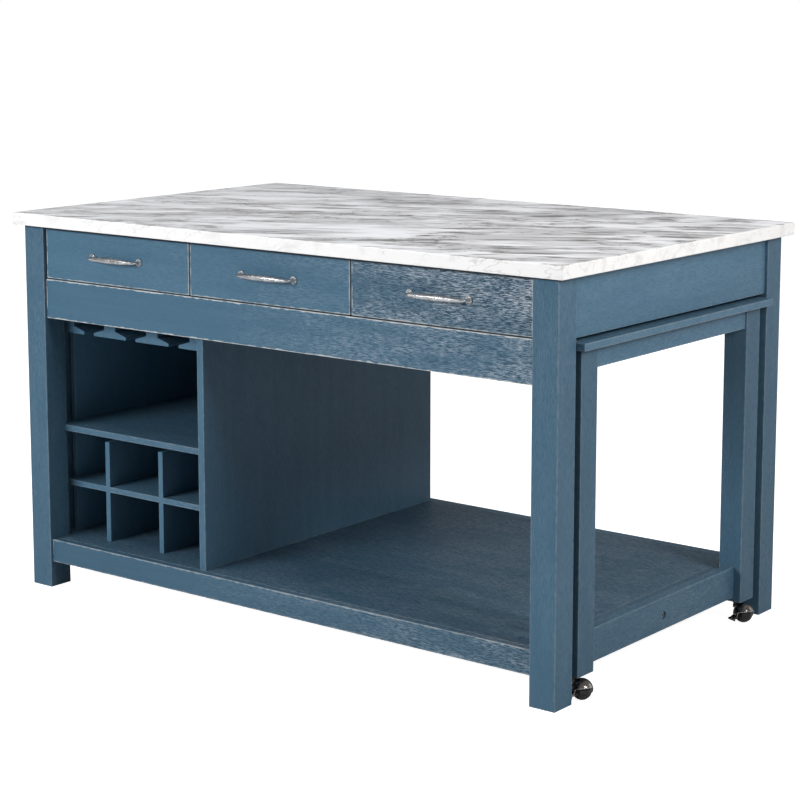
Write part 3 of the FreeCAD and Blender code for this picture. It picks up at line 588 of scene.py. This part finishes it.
class CasterAxes:
    """The caster's own directions at rest: trail and axle, with heights, from its joints."""

    def __init__(self, side):
        swivel = np.array(JOINTS["swivel_" + side]["pos_m"])
        wheel = np.array(JOINTS["roll_" + side]["pos_m"])
        self.axle = unit(JOINTS["roll_" + side]["axis"])
        trail = wheel - swivel
        trail[2] = 0
        self.reach = float(np.linalg.norm(trail))
        self.trail = unit(trail)
        self.base = np.array((swivel[0], swivel[1], 0.0))
        self.wheel = wheel
        self.hinge = np.array(JOINTS["brake_" + side]["pos_m"])

    def point(self, t, a, z):
        """Arrays of distances along trail, axle and up, as points."""
        t, a, z = np.broadcast_arrays(t, a, z)
        level = self.base + t[..., None] * self.trail + a[..., None] * self.axle
        return level + z[..., None] * np.array((0, 0, 1.0))


def rim_angles(heading, look):
    """Angle down from the top at which the hood ends, for each heading: where a plane leaning about the
    axle cuts the ball, or the lower side of the round ear over the axle where that reaches further."""
    lean = math.tan(math.radians(look.rim_tilt)) * np.cos(heading)
    level = np.arccos(look.rim_rise / (look.hood_radius * np.hypot(1, lean))) - np.arctan(lean)
    spread = (look.ear_radius / look.hood_radius) ** 2 - np.cos(heading) ** 2
    ear = np.arccos(-np.sqrt(np.clip(spread, 0, None)) / np.maximum(np.abs(np.sin(heading)), .5))
    rim = np.maximum(level, np.where(spread > 0, ear, 0))
    for _ in range(2):
        rim = (np.roll(rim, 1) + 2 * rim + np.roll(rim, -1)) / 4
    return rim


def ball_points(axes, radius, polar, heading):
    """Points round the wheel centre at a radius, an angle down from the top and a heading."""
    across = radius * np.sin(polar)
    return axes.point(axes.reach + across * np.cos(heading), across * np.sin(heading),
                      axes.wheel[2] + radius * np.cos(polar))


def hood_surface(axes, look):
    """Tilted half-ball hood as a closed shell: for every heading, the section runs from the top of the
    outer ball to the rim, round its edge and up the inner ball."""
    outer, inner = look.hood_radius, look.hood_radius - look.hood_wall
    columns, rows = RIM_COLUMNS, 28
    heading = np.linspace(0, 2 * np.pi, columns, endpoint=False)
    rim = rim_angles(heading, look)
    down = np.linspace(0, 1, rows)[:, None] * rim[None, :]
    bead = np.linspace(0, np.pi, 7)[1:-1]
    mid, half = (outer + inner) / 2, (outer - inner) / 2
    radius = np.concatenate([np.full(rows, outer), mid + half * np.cos(bead), np.full(rows, inner)])
    polar = np.concatenate([down, rim[None, :] + (half * np.sin(bead) / mid)[:, None], down[::-1]])
    points = ball_points(axes, radius[:, None], polar, heading[None, :])
    return points.reshape(-1, 3), grid_quads(len(radius), columns)


def rim_surface(axes, look):
    """Rolled bead along the hood's rim: a small round section carried round the closed rim line."""
    columns, sides = RIM_COLUMNS, 10
    heading = np.linspace(0, 2 * np.pi, columns, endpoint=False)
    line = ball_points(axes, look.hood_radius - look.hood_wall / 2, rim_angles(heading, look), heading)
    outward = line - axes.wheel
    outward /= np.linalg.norm(outward, axis=1, keepdims=True)
    run = np.roll(line, -1, axis=0) - np.roll(line, 1, axis=0)
    run /= np.linalg.norm(run, axis=1, keepdims=True)
    outward -= (outward * run).sum(1, keepdims=True) * run
    outward /= np.linalg.norm(outward, axis=1, keepdims=True)
    points, _ = sweep(line, outward, np.cross(run, outward), np.full(columns, look.rim_bead), sides)
    return points, grid_quads(columns, sides, wrap_rows=True)


def wheel_surface(axes, look):
    """Ball wheel turned round the axle: the ball's arc between flat sides, a groove round the middle,
    and dished sides with a raised hub."""
    radius, half = look.wheel_radius, look.wheel_half_width
    a = np.linspace(-half, half, 61)
    arc = np.sqrt(radius ** 2 - a ** 2)
    arc = arc - .0011 * np.exp(-(a / .0007) ** 2)
    edge = arc[0]
    side = np.array([(half, .0034), (half, .0062), (half - .0005, .0066), (half - .0012, .0072),
                     (half - .0014, edge - .0032), (half - .0008, edge - .0024), (half - .0001, edge - .0019),
                     (half, edge - .0012), (half - .0002, edge - .0004)])
    left = side * np.array((-1.0, 1.0))
    inner = np.array([(half, .00305), (-half, .00305)])
    ring = np.concatenate([left, np.stack([a[1:-1], arc[1:-1]], 1), side[::-1], inner])
    return lathe(axes.wheel, axes.axle, (0, 0, 1), np.concatenate([ring, ring[:1]]), 72)


def neck_surface(axes):
    """Turned neck under the leg: a flared foot plate, a waist and a skirt."""
    corners = [(0.0275, 0), (0.0275, .0072), (.0290, .0080), (.0352, .0080), (.0362, .0070), (.0372, .0070),
               (.0382, .0080), (.0448, .0080), (.0455, .0073), (.0455, .0040), (.0780, .0040), (.0780, 0)]
    profile = rounded_profile(corners, .0006)
    return lathe(axes.base, (0, 0, 1), axes.trail, profile, 40)


def rounded_section(count, power):
    """Superellipse round a section: cos and sin of the turn, each raised to a power with its sign kept."""
    turn = np.linspace(0, 2 * np.pi, count, endpoint=False)
    return tuple(np.sign(wave) * np.abs(wave) ** power for wave in (np.cos(turn), np.sin(turn)))


def with_ends(values):
    """The values with the first and the last repeated, for the rings that close the ends."""
    return np.concatenate([values[:1], values, values[-1:]])


def closing(count):
    """Scale of each ring: none at the two closed ends, full between."""
    return np.concatenate([[0.0], np.ones(count), [0.0]])


def arm_surface(axes, look):
    """Saddle between neck and hood: a rounded section carried along the trail, narrowing and sinking
    into the hood; section = superellipse of half width w(t) and half height h(t)."""
    share = np.linspace(0, 1, 15)
    t = share * (axes.reach - look.hood_radius * .62)
    half_width = .0068 - .0006 * np.sin(share * np.pi)
    half_height = .0052 + .0006 * share
    across, rise = rounded_section(SECTION_SIDES, ARM_POWER)
    closed = closing(len(share))
    t = with_ends(t)
    half_width = with_ends(half_width) * closed
    half_height = with_ends(half_height) * closed
    points = axes.point(t[:, None] + 0 * across[None, :], half_width[:, None] * across,
                        ARM_LEVEL + half_height[:, None] * rise)
    return points.reshape(-1, 3), grid_quads(len(t), SECTION_SIDES)


def lug_surface(axes, t0, t1):
    """One ear of the pedal hinge: a rounded slab between the hood and the hinge pin."""
    half = (t1 - t0) / 2
    middle = (t0 + t1) / 2
    hinge_a = float((axes.hinge - axes.wheel) @ axes.axle)
    hinge_z = float(axes.hinge[2])
    swing = np.linspace(-np.pi / 2, np.pi / 2, 25)
    a = np.concatenate([hinge_a + .0026 * np.cos(swing), [hinge_a - .0087, hinge_a - .0087]])
    z = np.concatenate([hinge_z + .0026 * np.sin(swing), [hinge_z + .0085, hinge_z - .0020]])
    centre_a, centre_z = a.mean(), z.mean()
    rings_t = np.array((-half, -half, -half * .82, half * .82, half, half))
    scale = np.array((0.0, .93, 1.0, 1.0, .93, 0.0))
    points = axes.point(axes.reach + middle + rings_t[:, None] + 0 * a[None, :],
                        centre_a + scale[:, None] * (a - centre_a),
                        centre_z + scale[:, None] * (z - centre_z))
    return points.reshape(-1, 3), grid_quads(len(rings_t), len(a))


def rivet_surface(axes, look, side):
    """Domed axle end with a shoulder washer against the hood."""
    out = look.axle_out
    profile = [(0, .0030), (.0238, .0030), (.0238, .0048), (.0243, .0050), (.0247, .0046), (.0248, .0036),
               (out + .0002, .0031), (out + .0006, .0022), (out + .0008, .0012), (out + .0009, 0)]
    return lathe(axes.wheel, side * axes.axle, axes.trail, profile, 40)


def pedal_surface(axes, look):
    """Brake pedal: a blade that thins from a deep root to its tip. Its under side rises in a straight
    line, its top falls from the hinge, and its section is a rounded box with treads across the top."""
    share = np.linspace(0, 1, 49)
    a = look.pedal_root + share * (look.pedal_end - look.pedal_root)
    under = look.pedal_low + share * (look.pedal_tip - look.pedal_low)
    over = np.interp(a, [look.pedal_root, .0270, look.pedal_end], [.0140, .0174, look.pedal_tip + .0026])
    over = over - .0004 * (np.cos(share * 60) > 0) * (share > .35) * (share < .92)
    tip = np.sqrt(np.clip(1 - np.clip((share - .80) / .20, 0, 1) ** 2.4, .35 ** 2, 1))
    across, rise = rounded_section(SECTION_SIDES, PEDAL_POWER)
    closed = closing(len(share))
    a, under, over, tip = (with_ends(part) for part in (a, under, over, tip))
    t = axes.reach + (look.pedal_half_width * tip * closed)[:, None] * across
    z = ((over + under) / 2)[:, None] + ((over - under) / 2 * closed)[:, None] * rise
    return axes.point(t, a[:, None] + 0 * t, z).reshape(-1, 3), grid_quads(len(a), SECTION_SIDES)


def barrel_surface(axes, half, radius):
    """Hinge barrel round the pedal pin, with eased ends."""
    profile = [(-half, 0), (-half, radius - .0004), (-half + .0004, radius), (half - .0004, radius),
               (half, radius - .0004), (half, 0)]
    return lathe(axes.hinge, axes.trail, (0, 0, 1), profile, 32)


# ---------------------------------------------------------------- what a user may change

def colour_setting(name, description, default):
    return bpy.props.FloatVectorProperty(name=name, description=description, default=default,
                                         subtype="COLOR", size=4, min=0, max=1)


def share_setting(name, description, default):
    return bpy.props.FloatProperty(name=name, description=description, default=default,
                                   subtype="FACTOR", min=0, max=1)


def length_setting(name, description, default, **limits):
    return bpy.props.FloatProperty(name=name, description=description, default=default,
                                   subtype="DISTANCE", unit="LENGTH", **limits)


def power_setting(name, description, default):
    return bpy.props.FloatProperty(name=name, description=description, default=default,
                                   subtype="POWER", unit="POWER")


def number_setting(name, description, default, **limits):
    return bpy.props.FloatProperty(name=name, description=description, default=default, **limits)


class IslandPaint(bpy.types.PropertyGroup):
    """Blue paint over open-grained wood."""
    colour: colour_setting("Paint", "Main colour of the paint", (0.051, 0.118, 0.182, 1))
    colour_deep: colour_setting(
        "Deep paint", "Paint where the wood takes more colour", (0.043, 0.105, 0.164, 1))
    colour_pore: colour_setting("Pores", "Colour down in the open pores", (0.010, 0.034, 0.060, 1))
    # Colour of the pale strokes: partly pale streaks in the timber, partly a painted highlight where gloss catches
    # the brushed ridges.
    colour_stroke_and_glint: colour_setting(
        "Brushed strokes", "Pale strokes left along the grain", (0.42, 0.46, 0.50, 1))
    # Colour of the pale arrises: partly rubbed paint, partly a painted highlight of the eased edges.
    colour_worn_and_lit: colour_setting(
        "Worn edges", "Colour where the paint thins on the arrises", (0.42, 0.44, 0.44, 1))
    # Painted shade: the colour of the overhang's shadow, laid along the top of the boards under the worktop.
    colour_under_top_shade: colour_setting(
        "Painted shade", "Shadowed dust along the top of the boards under the worktop", (0.006, 0.012, 0.020, 1))
    stroke_strength: share_setting("Stroke strength", "How clearly the pale strokes show", 0.95)
    pore_strength: share_setting("Pore strength", "How dark the pores are", 0.08)
    # Width of the pale arris line, partly rubbed paint and partly painted highlight.
    arris_line_width: length_setting(
        "Worn width", "Width of the worn line on an edge", 0.0030, min=0.0002, max=0.01)
    grain_depth: length_setting("Grain depth", "Depth of the brushed relief", 0.00025, min=0, max=0.003)
    roughness: share_setting("Roughness", "Roughness of the paint", 0.42)
    sheen: share_setting("Sheen", "How much light the paint reflects from its surface", 0.30)


class IslandMarble(bpy.types.PropertyGroup):
    """Streaked marble worktop."""
    ground: colour_setting("Ground", "Lightest part of the stone", (0.80, 0.81, 0.835, 1))
    cloud: colour_setting("Cloud", "Clouded part of the stone", (0.50, 0.505, 0.52, 1))
    # Ground of the slab's edges, paler than the top: painted light on the edges.
    edge: colour_setting("Edges", "Ground colour of the slab's edges", (0.68, 0.68, 0.68, 1))
    vein: colour_setting("Veins", "Grey streaks", (0.17, 0.165, 0.165, 1))
    brown: colour_setting("Brown threads", "Warm threads in some streaks", (0.085, 0.068, 0.055, 1))
    vein_heading: number_setting(
        "Heading", "Direction of the streaks from the long side", 30.0, min=-90, max=90)
    vein_dip: number_setting("Dip", "Slant of the streaks through the slab", 29.0, min=0, max=89)


class IslandHardware(bpy.types.PropertyGroup):
    """Pulls, casters and slides."""
    nickel: colour_setting("Satin nickel", "Colour of the pulls", (0.70, 0.71, 0.73, 1))
    gunmetal: colour_setting("Gunmetal", "Colour of the caster hoods", (0.30, 0.275, 0.255, 1))
    zinc: colour_setting("Zinc", "Colour of the drawer slides", (0.58, 0.59, 0.61, 1))
    pull_span: length_setting("Pull span", "Feet, centre to centre", 0.152)
    pull_out: length_setting("Pull projection", "Grip centre line from the drawer front", 0.020)
    pull_bend: length_setting("Pull bend", "Radius of the bent arms", 0.012)
    grip_middle: length_setting("Grip middle", "Grip radius in the middle", 0.0074)
    grip_end: length_setting("Grip end", "Grip radius at its ends", 0.0042)
    wheel_radius: length_setting("Wheel radius", "Radius of the ball wheel", 0.0215)
    wheel_half_width: length_setting("Wheel half width", "Half of the wheel's width", 0.0150)
    hood_radius: length_setting("Hood radius", "Outer radius of the hood", 0.0238)
    axle_out: length_setting("Axle reach", "Axle end from the wheel centre", 0.0248)
    hood_wall: length_setting("Hood wall", "Thickness of the hood", 0.0015)
    rim_rise: length_setting("Rim rise", "Middle of the rim above the wheel centre", 0.0036)
    rim_tilt: number_setting("Rim tilt", "Degrees that the rim rises towards the trailing side", 15.0)
    rim_bead: length_setting("Rim bead", "Radius of the rolled bead on the rim", 0.0011)
    ear_radius: length_setting("Ear radius", "Round ear over each axle end", 0.0090)
    pedal_root: length_setting("Pedal root", "Inner end of the pedal from the wheel centre", 0.0252)
    pedal_end: length_setting("Pedal reach", "Pedal tip from the wheel centre", 0.0400)
    pedal_low: length_setting("Pedal root height", "Under side of the pedal at its root", 0.0052)
    pedal_tip: length_setting("Pedal tip height", "Under side of the pedal at its tip", 0.0124)
    pedal_half_width: length_setting("Pedal half width", "Half of the pedal's width", 0.0050)


class IslandStage(bpy.types.PropertyGroup):
    """Floor, light and camera."""
    floor_colour: colour_setting("Floor", "Colour of the floor", (0.55, 0.55, 0.55, 1))
    key_power: power_setting("Key light", "Power of the front light", 250.0)
    card_power: power_setting("Card light", "Power of the broad front light that metal mirrors", 26.0)
    spark_power: power_setting("Spark light", "Power of the small lights that leave glints on metal", 44.0)
    fill_power: power_setting("Fill light", "Power of the light on the right end", 26.0)
    glance_power: power_setting(
        "Glancing light", "Power of the light that grazes the right end from behind", 22.0)
    top_power: power_setting("Top light", "Power of the overhead light", 60.0)
    room_light: number_setting("Room light", "Strength of the even light all round", 0.17, min=0)
    floor_glow: number_setting(
        "Floor glow", "Light the floor gives off as seen, to keep it pale", 0.95, min=0)
    camera_place: bpy.props.FloatVectorProperty(
        name="Camera", description="Place of the camera", subtype="TRANSLATION",
        unit="LENGTH", size=3, default=(3.0556, -3.8973, 1.4607))
    camera_turn: number_setting(
        "Camera heading", "Turn of the camera from the long side, in degrees", 37.957)
    camera_down: number_setting("Camera tilt", "Degrees that the camera looks down", 8.639)
    lens: number_setting("Lens", "Focal length in millimetres", 95.8)
    shift: number_setting("Rise", "Vertical shift of the lens", -0.12)


# ---------------------------------------------------------------- operators

class ISLAND_OT_effects(bpy.types.Operator):
    """Builds the grain, wear, marble and metal node groups that the finishes share"""
    bl_idname = "island.effects"
    bl_label = "Shared Effects"

    def execute(self, context):
        build_grain_group()
        build_edge_group()
        build_marble_group()
        build_metal_group()
        return {"FINISHED"}


class ISLAND_OT_boards(bpy.types.Operator):
    """Paints every outer board of the island and of the table leaf, each with its own grain"""
    bl_idname = "island.boards"
    bl_label = "Painted Boards"

    def execute(self, context):
        for along, boards in (("X", GRAIN_ALONG_X), ("Y", GRAIN_ALONG_Y), ("Z", GRAIN_ALONG_Z)):
            for node, strokes in boards.items():
                painted_timber(node, along, strokes)
        for node, along in GROUPED_BOARDS.items():
            painted_timber_group(node, along)
        return {"FINISHED"}


class ISLAND_OT_worktop(bpy.types.Operator):
    """Gives the worktop its streaked, polished marble"""
    bl_idname = "island.worktop"
    bl_label = "Worktop"

    def execute(self, context):
        finish_node("worktop", marble())
        return {"FINISHED"}


class ISLAND_OT_inner_timber(bpy.types.Operator):
    """Finishes the drawer boxes and the inner boards that carry the slides"""
    bl_idname = "island.inner_timber"
    bl_label = "Inner Timber"

    def execute(self, context):
        for node, along in INNER_BOARDS.items():
            finish_node(node, bare_timber("Frame wood " + node, along, (0.050, 0.095, 0.138, 1),
                                          (0.038, 0.075, 0.110, 1)))
        box = bare_timber("Drawer birch", "Y", (0.62, 0.49, 0.34, 1), (0.53, 0.40, 0.26, 1))
        for number in DRAWER_NUMBERS:
            finish_node("drawer_box_" + number, box)
        return {"FINISHED"}


class ISLAND_OT_slides(bpy.types.Operator):
    """Zinc plating on the drawer and leaf slides"""
    bl_idname = "island.slides"
    bl_label = "Slides"

    def execute(self, context):
        look = context.scene.island_hardware
        zinc = metal("Zinc plate", tuple(look.zinc), (0.42, 0.43, 0.45, 1), 0.34)
        for node in NODES:
            if "slide" in node:
                finish_node(node, zinc)
        return {"FINISHED"}


class ISLAND_OT_pulls(bpy.types.Operator):
    """Makes the three satin pulls with their flared feet and screws"""
    bl_idname = "island.pulls"
    bl_label = "Pulls"

    def execute(self, context):
        look = context.scene.island_hardware
        nickel = metal("Satin nickel", tuple(look.nickel), (0.36, 0.37, 0.385, 1), 0.28)
        for number in DRAWER_NUMBERS:
            front_low, front_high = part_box("drawer_front_" + number)
            pull_low, pull_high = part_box("drawer_pull_" + number)
            centre = (pull_low + pull_high) / 2
            face_y, inner_y = front_low[1], front_high[1]
            shells = [pull_surface(centre, face_y, look)]
            for side in (-1, 1):
                foot = (centre[0] + side * look.pull_span / 2, face_y, centre[2])
                shells.append(screw_surface(foot, inner_y, face_y + .0005))
            piece = make_piece("pull_" + number, *join_shells(*shells), nickel)
            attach(piece, BODY_OF["drawer_pull_" + number])
            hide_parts("drawer_pull_" + number)
        return {"FINISHED"}


class ISLAND_OT_casters(bpy.types.Operator):
    """Makes the hooded ball casters with their axles and brake pedals"""
    bl_idname = "island.casters"
    bl_label = "Casters"

    def execute(self, context):
        look = context.scene.island_hardware
        steel = metal("Gunmetal", tuple(look.gunmetal), (0.075, 0.068, 0.062, 1), 0.17, 1.0, 0.00042)
        bright = metal("Caster bright steel", tuple(look.zinc), (0.40, 0.40, 0.41, 1), 0.20)
        tread = tread_plastic()
        for side in SIDES:
            axes = CasterAxes(side)
            hood = make_piece("caster_hood_shell_" + side, *join_shells(
                hood_surface(axes, look), neck_surface(axes), arm_surface(axes, look),
                *(lug_surface(axes, *span) for span in LUG_SPANS),
                barrel_surface(axes, .0079, .0015)), steel)
            axle = make_piece("caster_axle_" + side, *join_shells(
                rivet_surface(axes, look, -1), rivet_surface(axes, look, 1), rim_surface(axes, look)), bright)
            wheel = make_piece("caster_ball_" + side, *wheel_surface(axes, look), tread)
            pedal = make_piece("caster_brake_" + side, *join_shells(
                pedal_surface(axes, look), barrel_surface(axes, .0050, .0034)), steel)
            for piece, node, slot in (
                    (hood, "caster_hood_", "dark_steel"), (axle, "caster_hood_", "slide_steel"),
                    (wheel, "caster_wheel_", "caster_tread"), (pedal, "caster_pedal_", "dark_steel")):
                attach(piece, BODY_OF[node + side])
            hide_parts("caster_hood_" + side)
            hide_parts("caster_wheel_" + side)
            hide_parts("caster_pedal_" + side)
        socket = metal("Caster socket steel", (0.30, 0.30, 0.31, 1), (0.16, 0.16, 0.16, 1), 0.4)
        finish_node("caster_sockets", socket)
        bolt = metal("Bolt steel", (0.35, 0.35, 0.36, 1), (0.18, 0.18, 0.18, 1), 0.35)
        finish_node("stretcher_bolt", bolt)
        return {"FINISHED"}


def add_light(name, place, aim, size, power, tint, mirrored):
    """A square soft light at place, facing aim; one that isn't mirrored leaves no glare on polish."""
    lamp = bpy.data.lights.new(name, "AREA")
    lamp.shape = "SQUARE"
    lamp.size = size
    lamp.energy = power
    lamp.color = tint
    item = bpy.data.objects.new(name, lamp)
    bpy.context.scene.collection.objects.link(item)
    item.location = place
    item.visible_glossy = mirrored
    item.rotation_euler = (Vector(aim) - Vector(place)).to_track_quat("-Z", "Y").to_euler()


# Name, place, aim, size, the setting that gives its power, its share of that, tint, seen in polish.
WHITE = (1, 1, 1)
LIGHTS = (
    ("key", (-1.7, -5.6, 2.2), (0, -0.3, 0.5), 2.2, "key_power", 1.0, WHITE, False),
    ("card", (-1.2, -5.0, 2.4), (0, -0.3, 0.5), 3.0, "card_power", 1.0, WHITE, True),
    ("spark", (-2.8, -4.6, 2.4), (0, -0.3, 0.6), 0.8, "spark_power", 1.0, WHITE, True),
    ("fill", (2.3, -0.2, 1.75), (0.8, 0, 0.8), 0.9, "fill_power", 1.0, (1.0, 0.97, 0.94), False),
    ("side spark", (3.4, -0.8, 2.0), (0.7, 0, 0.2), 0.5, "spark_power", 1 / 1.6, WHITE, True),
    ("glance", (3.0, 3.4, 1.2), (0.8, 0, 0.5), 2.4, "glance_power", 1.0, WHITE, True),
    ("top", (-0.2, -0.4, 3.6), (0, 0, 0.6), 2.4, "top_power", 1.0, WHITE, False),
)


def build_floor(look):
    """A plain pale floor under the feet, brightened only as the camera sees it."""
    line = np.linspace(-FLOOR_REACH, FLOOR_REACH, 2)
    x, y = np.meshgrid(line, line, indexing="ij")
    points = np.stack([x, y, np.full_like(x, -FLOOR_DROP)], -1).reshape(-1, 3)
    material, tree, shader, place = start_material("Studio floor")
    cloud = noise(tree, place, scale=1.5, detail=2)
    colour = mix_colour(tree, calc(tree, "MULTIPLY", cloud, 0.06), tuple(look.floor_colour),
                        (0.5, 0.5, 0.5, 1))
    set_finish(tree, shader, colour, ramp(tree, cloud, 0, 1, 0.6, 0.8))
    lit = put(tree, "Emission", {"Color": (1, 1, 1, 1), "Strength": look.floor_glow}).outputs[0]
    seen = put(tree, "LightPath").outputs["Is Camera Ray"]
    both = put(tree, "AddShader", {0: shader.outputs[0], 1: lit}).outputs[0]
    shown = put(tree, "MixShader", {0: seen, 1: shader.outputs[0], 2: both}).outputs[0]
    tree.links.new(shown, tree.nodes["Material Output"].inputs["Surface"])
    mesh = bpy.data.meshes.new("studio_floor")
    mesh.from_pydata(points.tolist(), [], grid_quads(2, 2, False, False)[:, ::-1].tolist())
    mesh.materials.append(material)
    floor = bpy.data.objects.new("studio_floor", mesh)
    bpy.context.scene.collection.objects.link(floor)


def build_world(look):
    """Even light all round, stronger from above; white where the camera sees it."""
    world = bpy.data.worlds.new("Studio")
    world.use_nodes = True
    bpy.context.scene.world = world
    tree = world.node_tree
    up = put(tree, "SeparateXYZ", {0: put(tree, "TexCoord").outputs["Generated"]}).outputs[2]
    glow = ramp(tree, up, -0.1, 0.9, look.room_light, look.room_light * 2.0)
    seen = put(tree, "LightPath").outputs["Is Camera Ray"]
    strength = put(tree, "Mix", {0: seen, 2: glow, 3: 1.0}).outputs[0]
    set_sockets(tree, tree.nodes["Background"], {"Color": (1, 1, 1, 1), "Strength": strength})


def place_camera(look):
    """The camera, from its settings."""
    lens = bpy.data.cameras.new("Camera")
    lens.lens = look.lens
    lens.sensor_width = SENSOR_WIDTH
    lens.shift_y = look.shift
    camera = bpy.data.objects.new("Camera", lens)
    scene = bpy.context.scene
    scene.collection.objects.link(camera)
    camera.location = look.camera_place
    camera.rotation_euler = (math.radians(90 - look.camera_down), 0, math.radians(look.camera_turn))
    scene.camera = camera
    scene.view_settings.view_transform = "Standard"


class ISLAND_OT_stage(bpy.types.Operator):
    """Sets the pale floor, the soft lights and the camera"""
    bl_idname = "island.stage"
    bl_label = "Stage"

    def execute(self, context):
        look = context.scene.island_stage
        build_floor(look)
        build_world(look)
        for name, place, aim, size, source, share, tint, mirrored in LIGHTS:
            add_light(name, place, aim, size, getattr(look, source) * share, tint, mirrored)
        place_camera(look)
        return {"FINISHED"}


class ISLAND_PT_panel(bpy.types.Panel):
    """Lists the island's steps in the order they are made"""
    bl_idname = "ISLAND_PT_panel"
    bl_label = "Kitchen Island"
    bl_space_type = "VIEW_3D"
    bl_region_type = "UI"
    bl_category = "Island"

    def draw(self, context):
        for step in STEPS:
            self.layout.operator(step.bl_idname)


STEPS = (ISLAND_OT_effects, ISLAND_OT_boards, ISLAND_OT_worktop, ISLAND_OT_inner_timber, ISLAND_OT_slides,
         ISLAND_OT_pulls, ISLAND_OT_casters, ISLAND_OT_stage)
SETTINGS = {"island_paint": IslandPaint, "island_marble": IslandMarble, "island_hardware": IslandHardware,
            "island_stage": IslandStage}


def register():
    for group in SETTINGS.values():
        bpy.utils.register_class(group)
    for name, group in SETTINGS.items():
        setattr(bpy.types.Scene, name, bpy.props.PointerProperty(type=group))
    for item in STEPS + (ISLAND_PT_panel,):
        bpy.utils.register_class(item)


def unregister():
    for item in reversed(STEPS + (ISLAND_PT_panel,)):
        bpy.utils.unregister_class(item)
    for name, group in SETTINGS.items():
        delattr(bpy.types.Scene, name)
        bpy.utils.unregister_class(group)


def main():
    register()
    for step in STEPS:
        family, action = step.bl_idname.split(".")
        getattr(getattr(bpy.ops, family), action)()


if __name__ == "__main__":
    main()
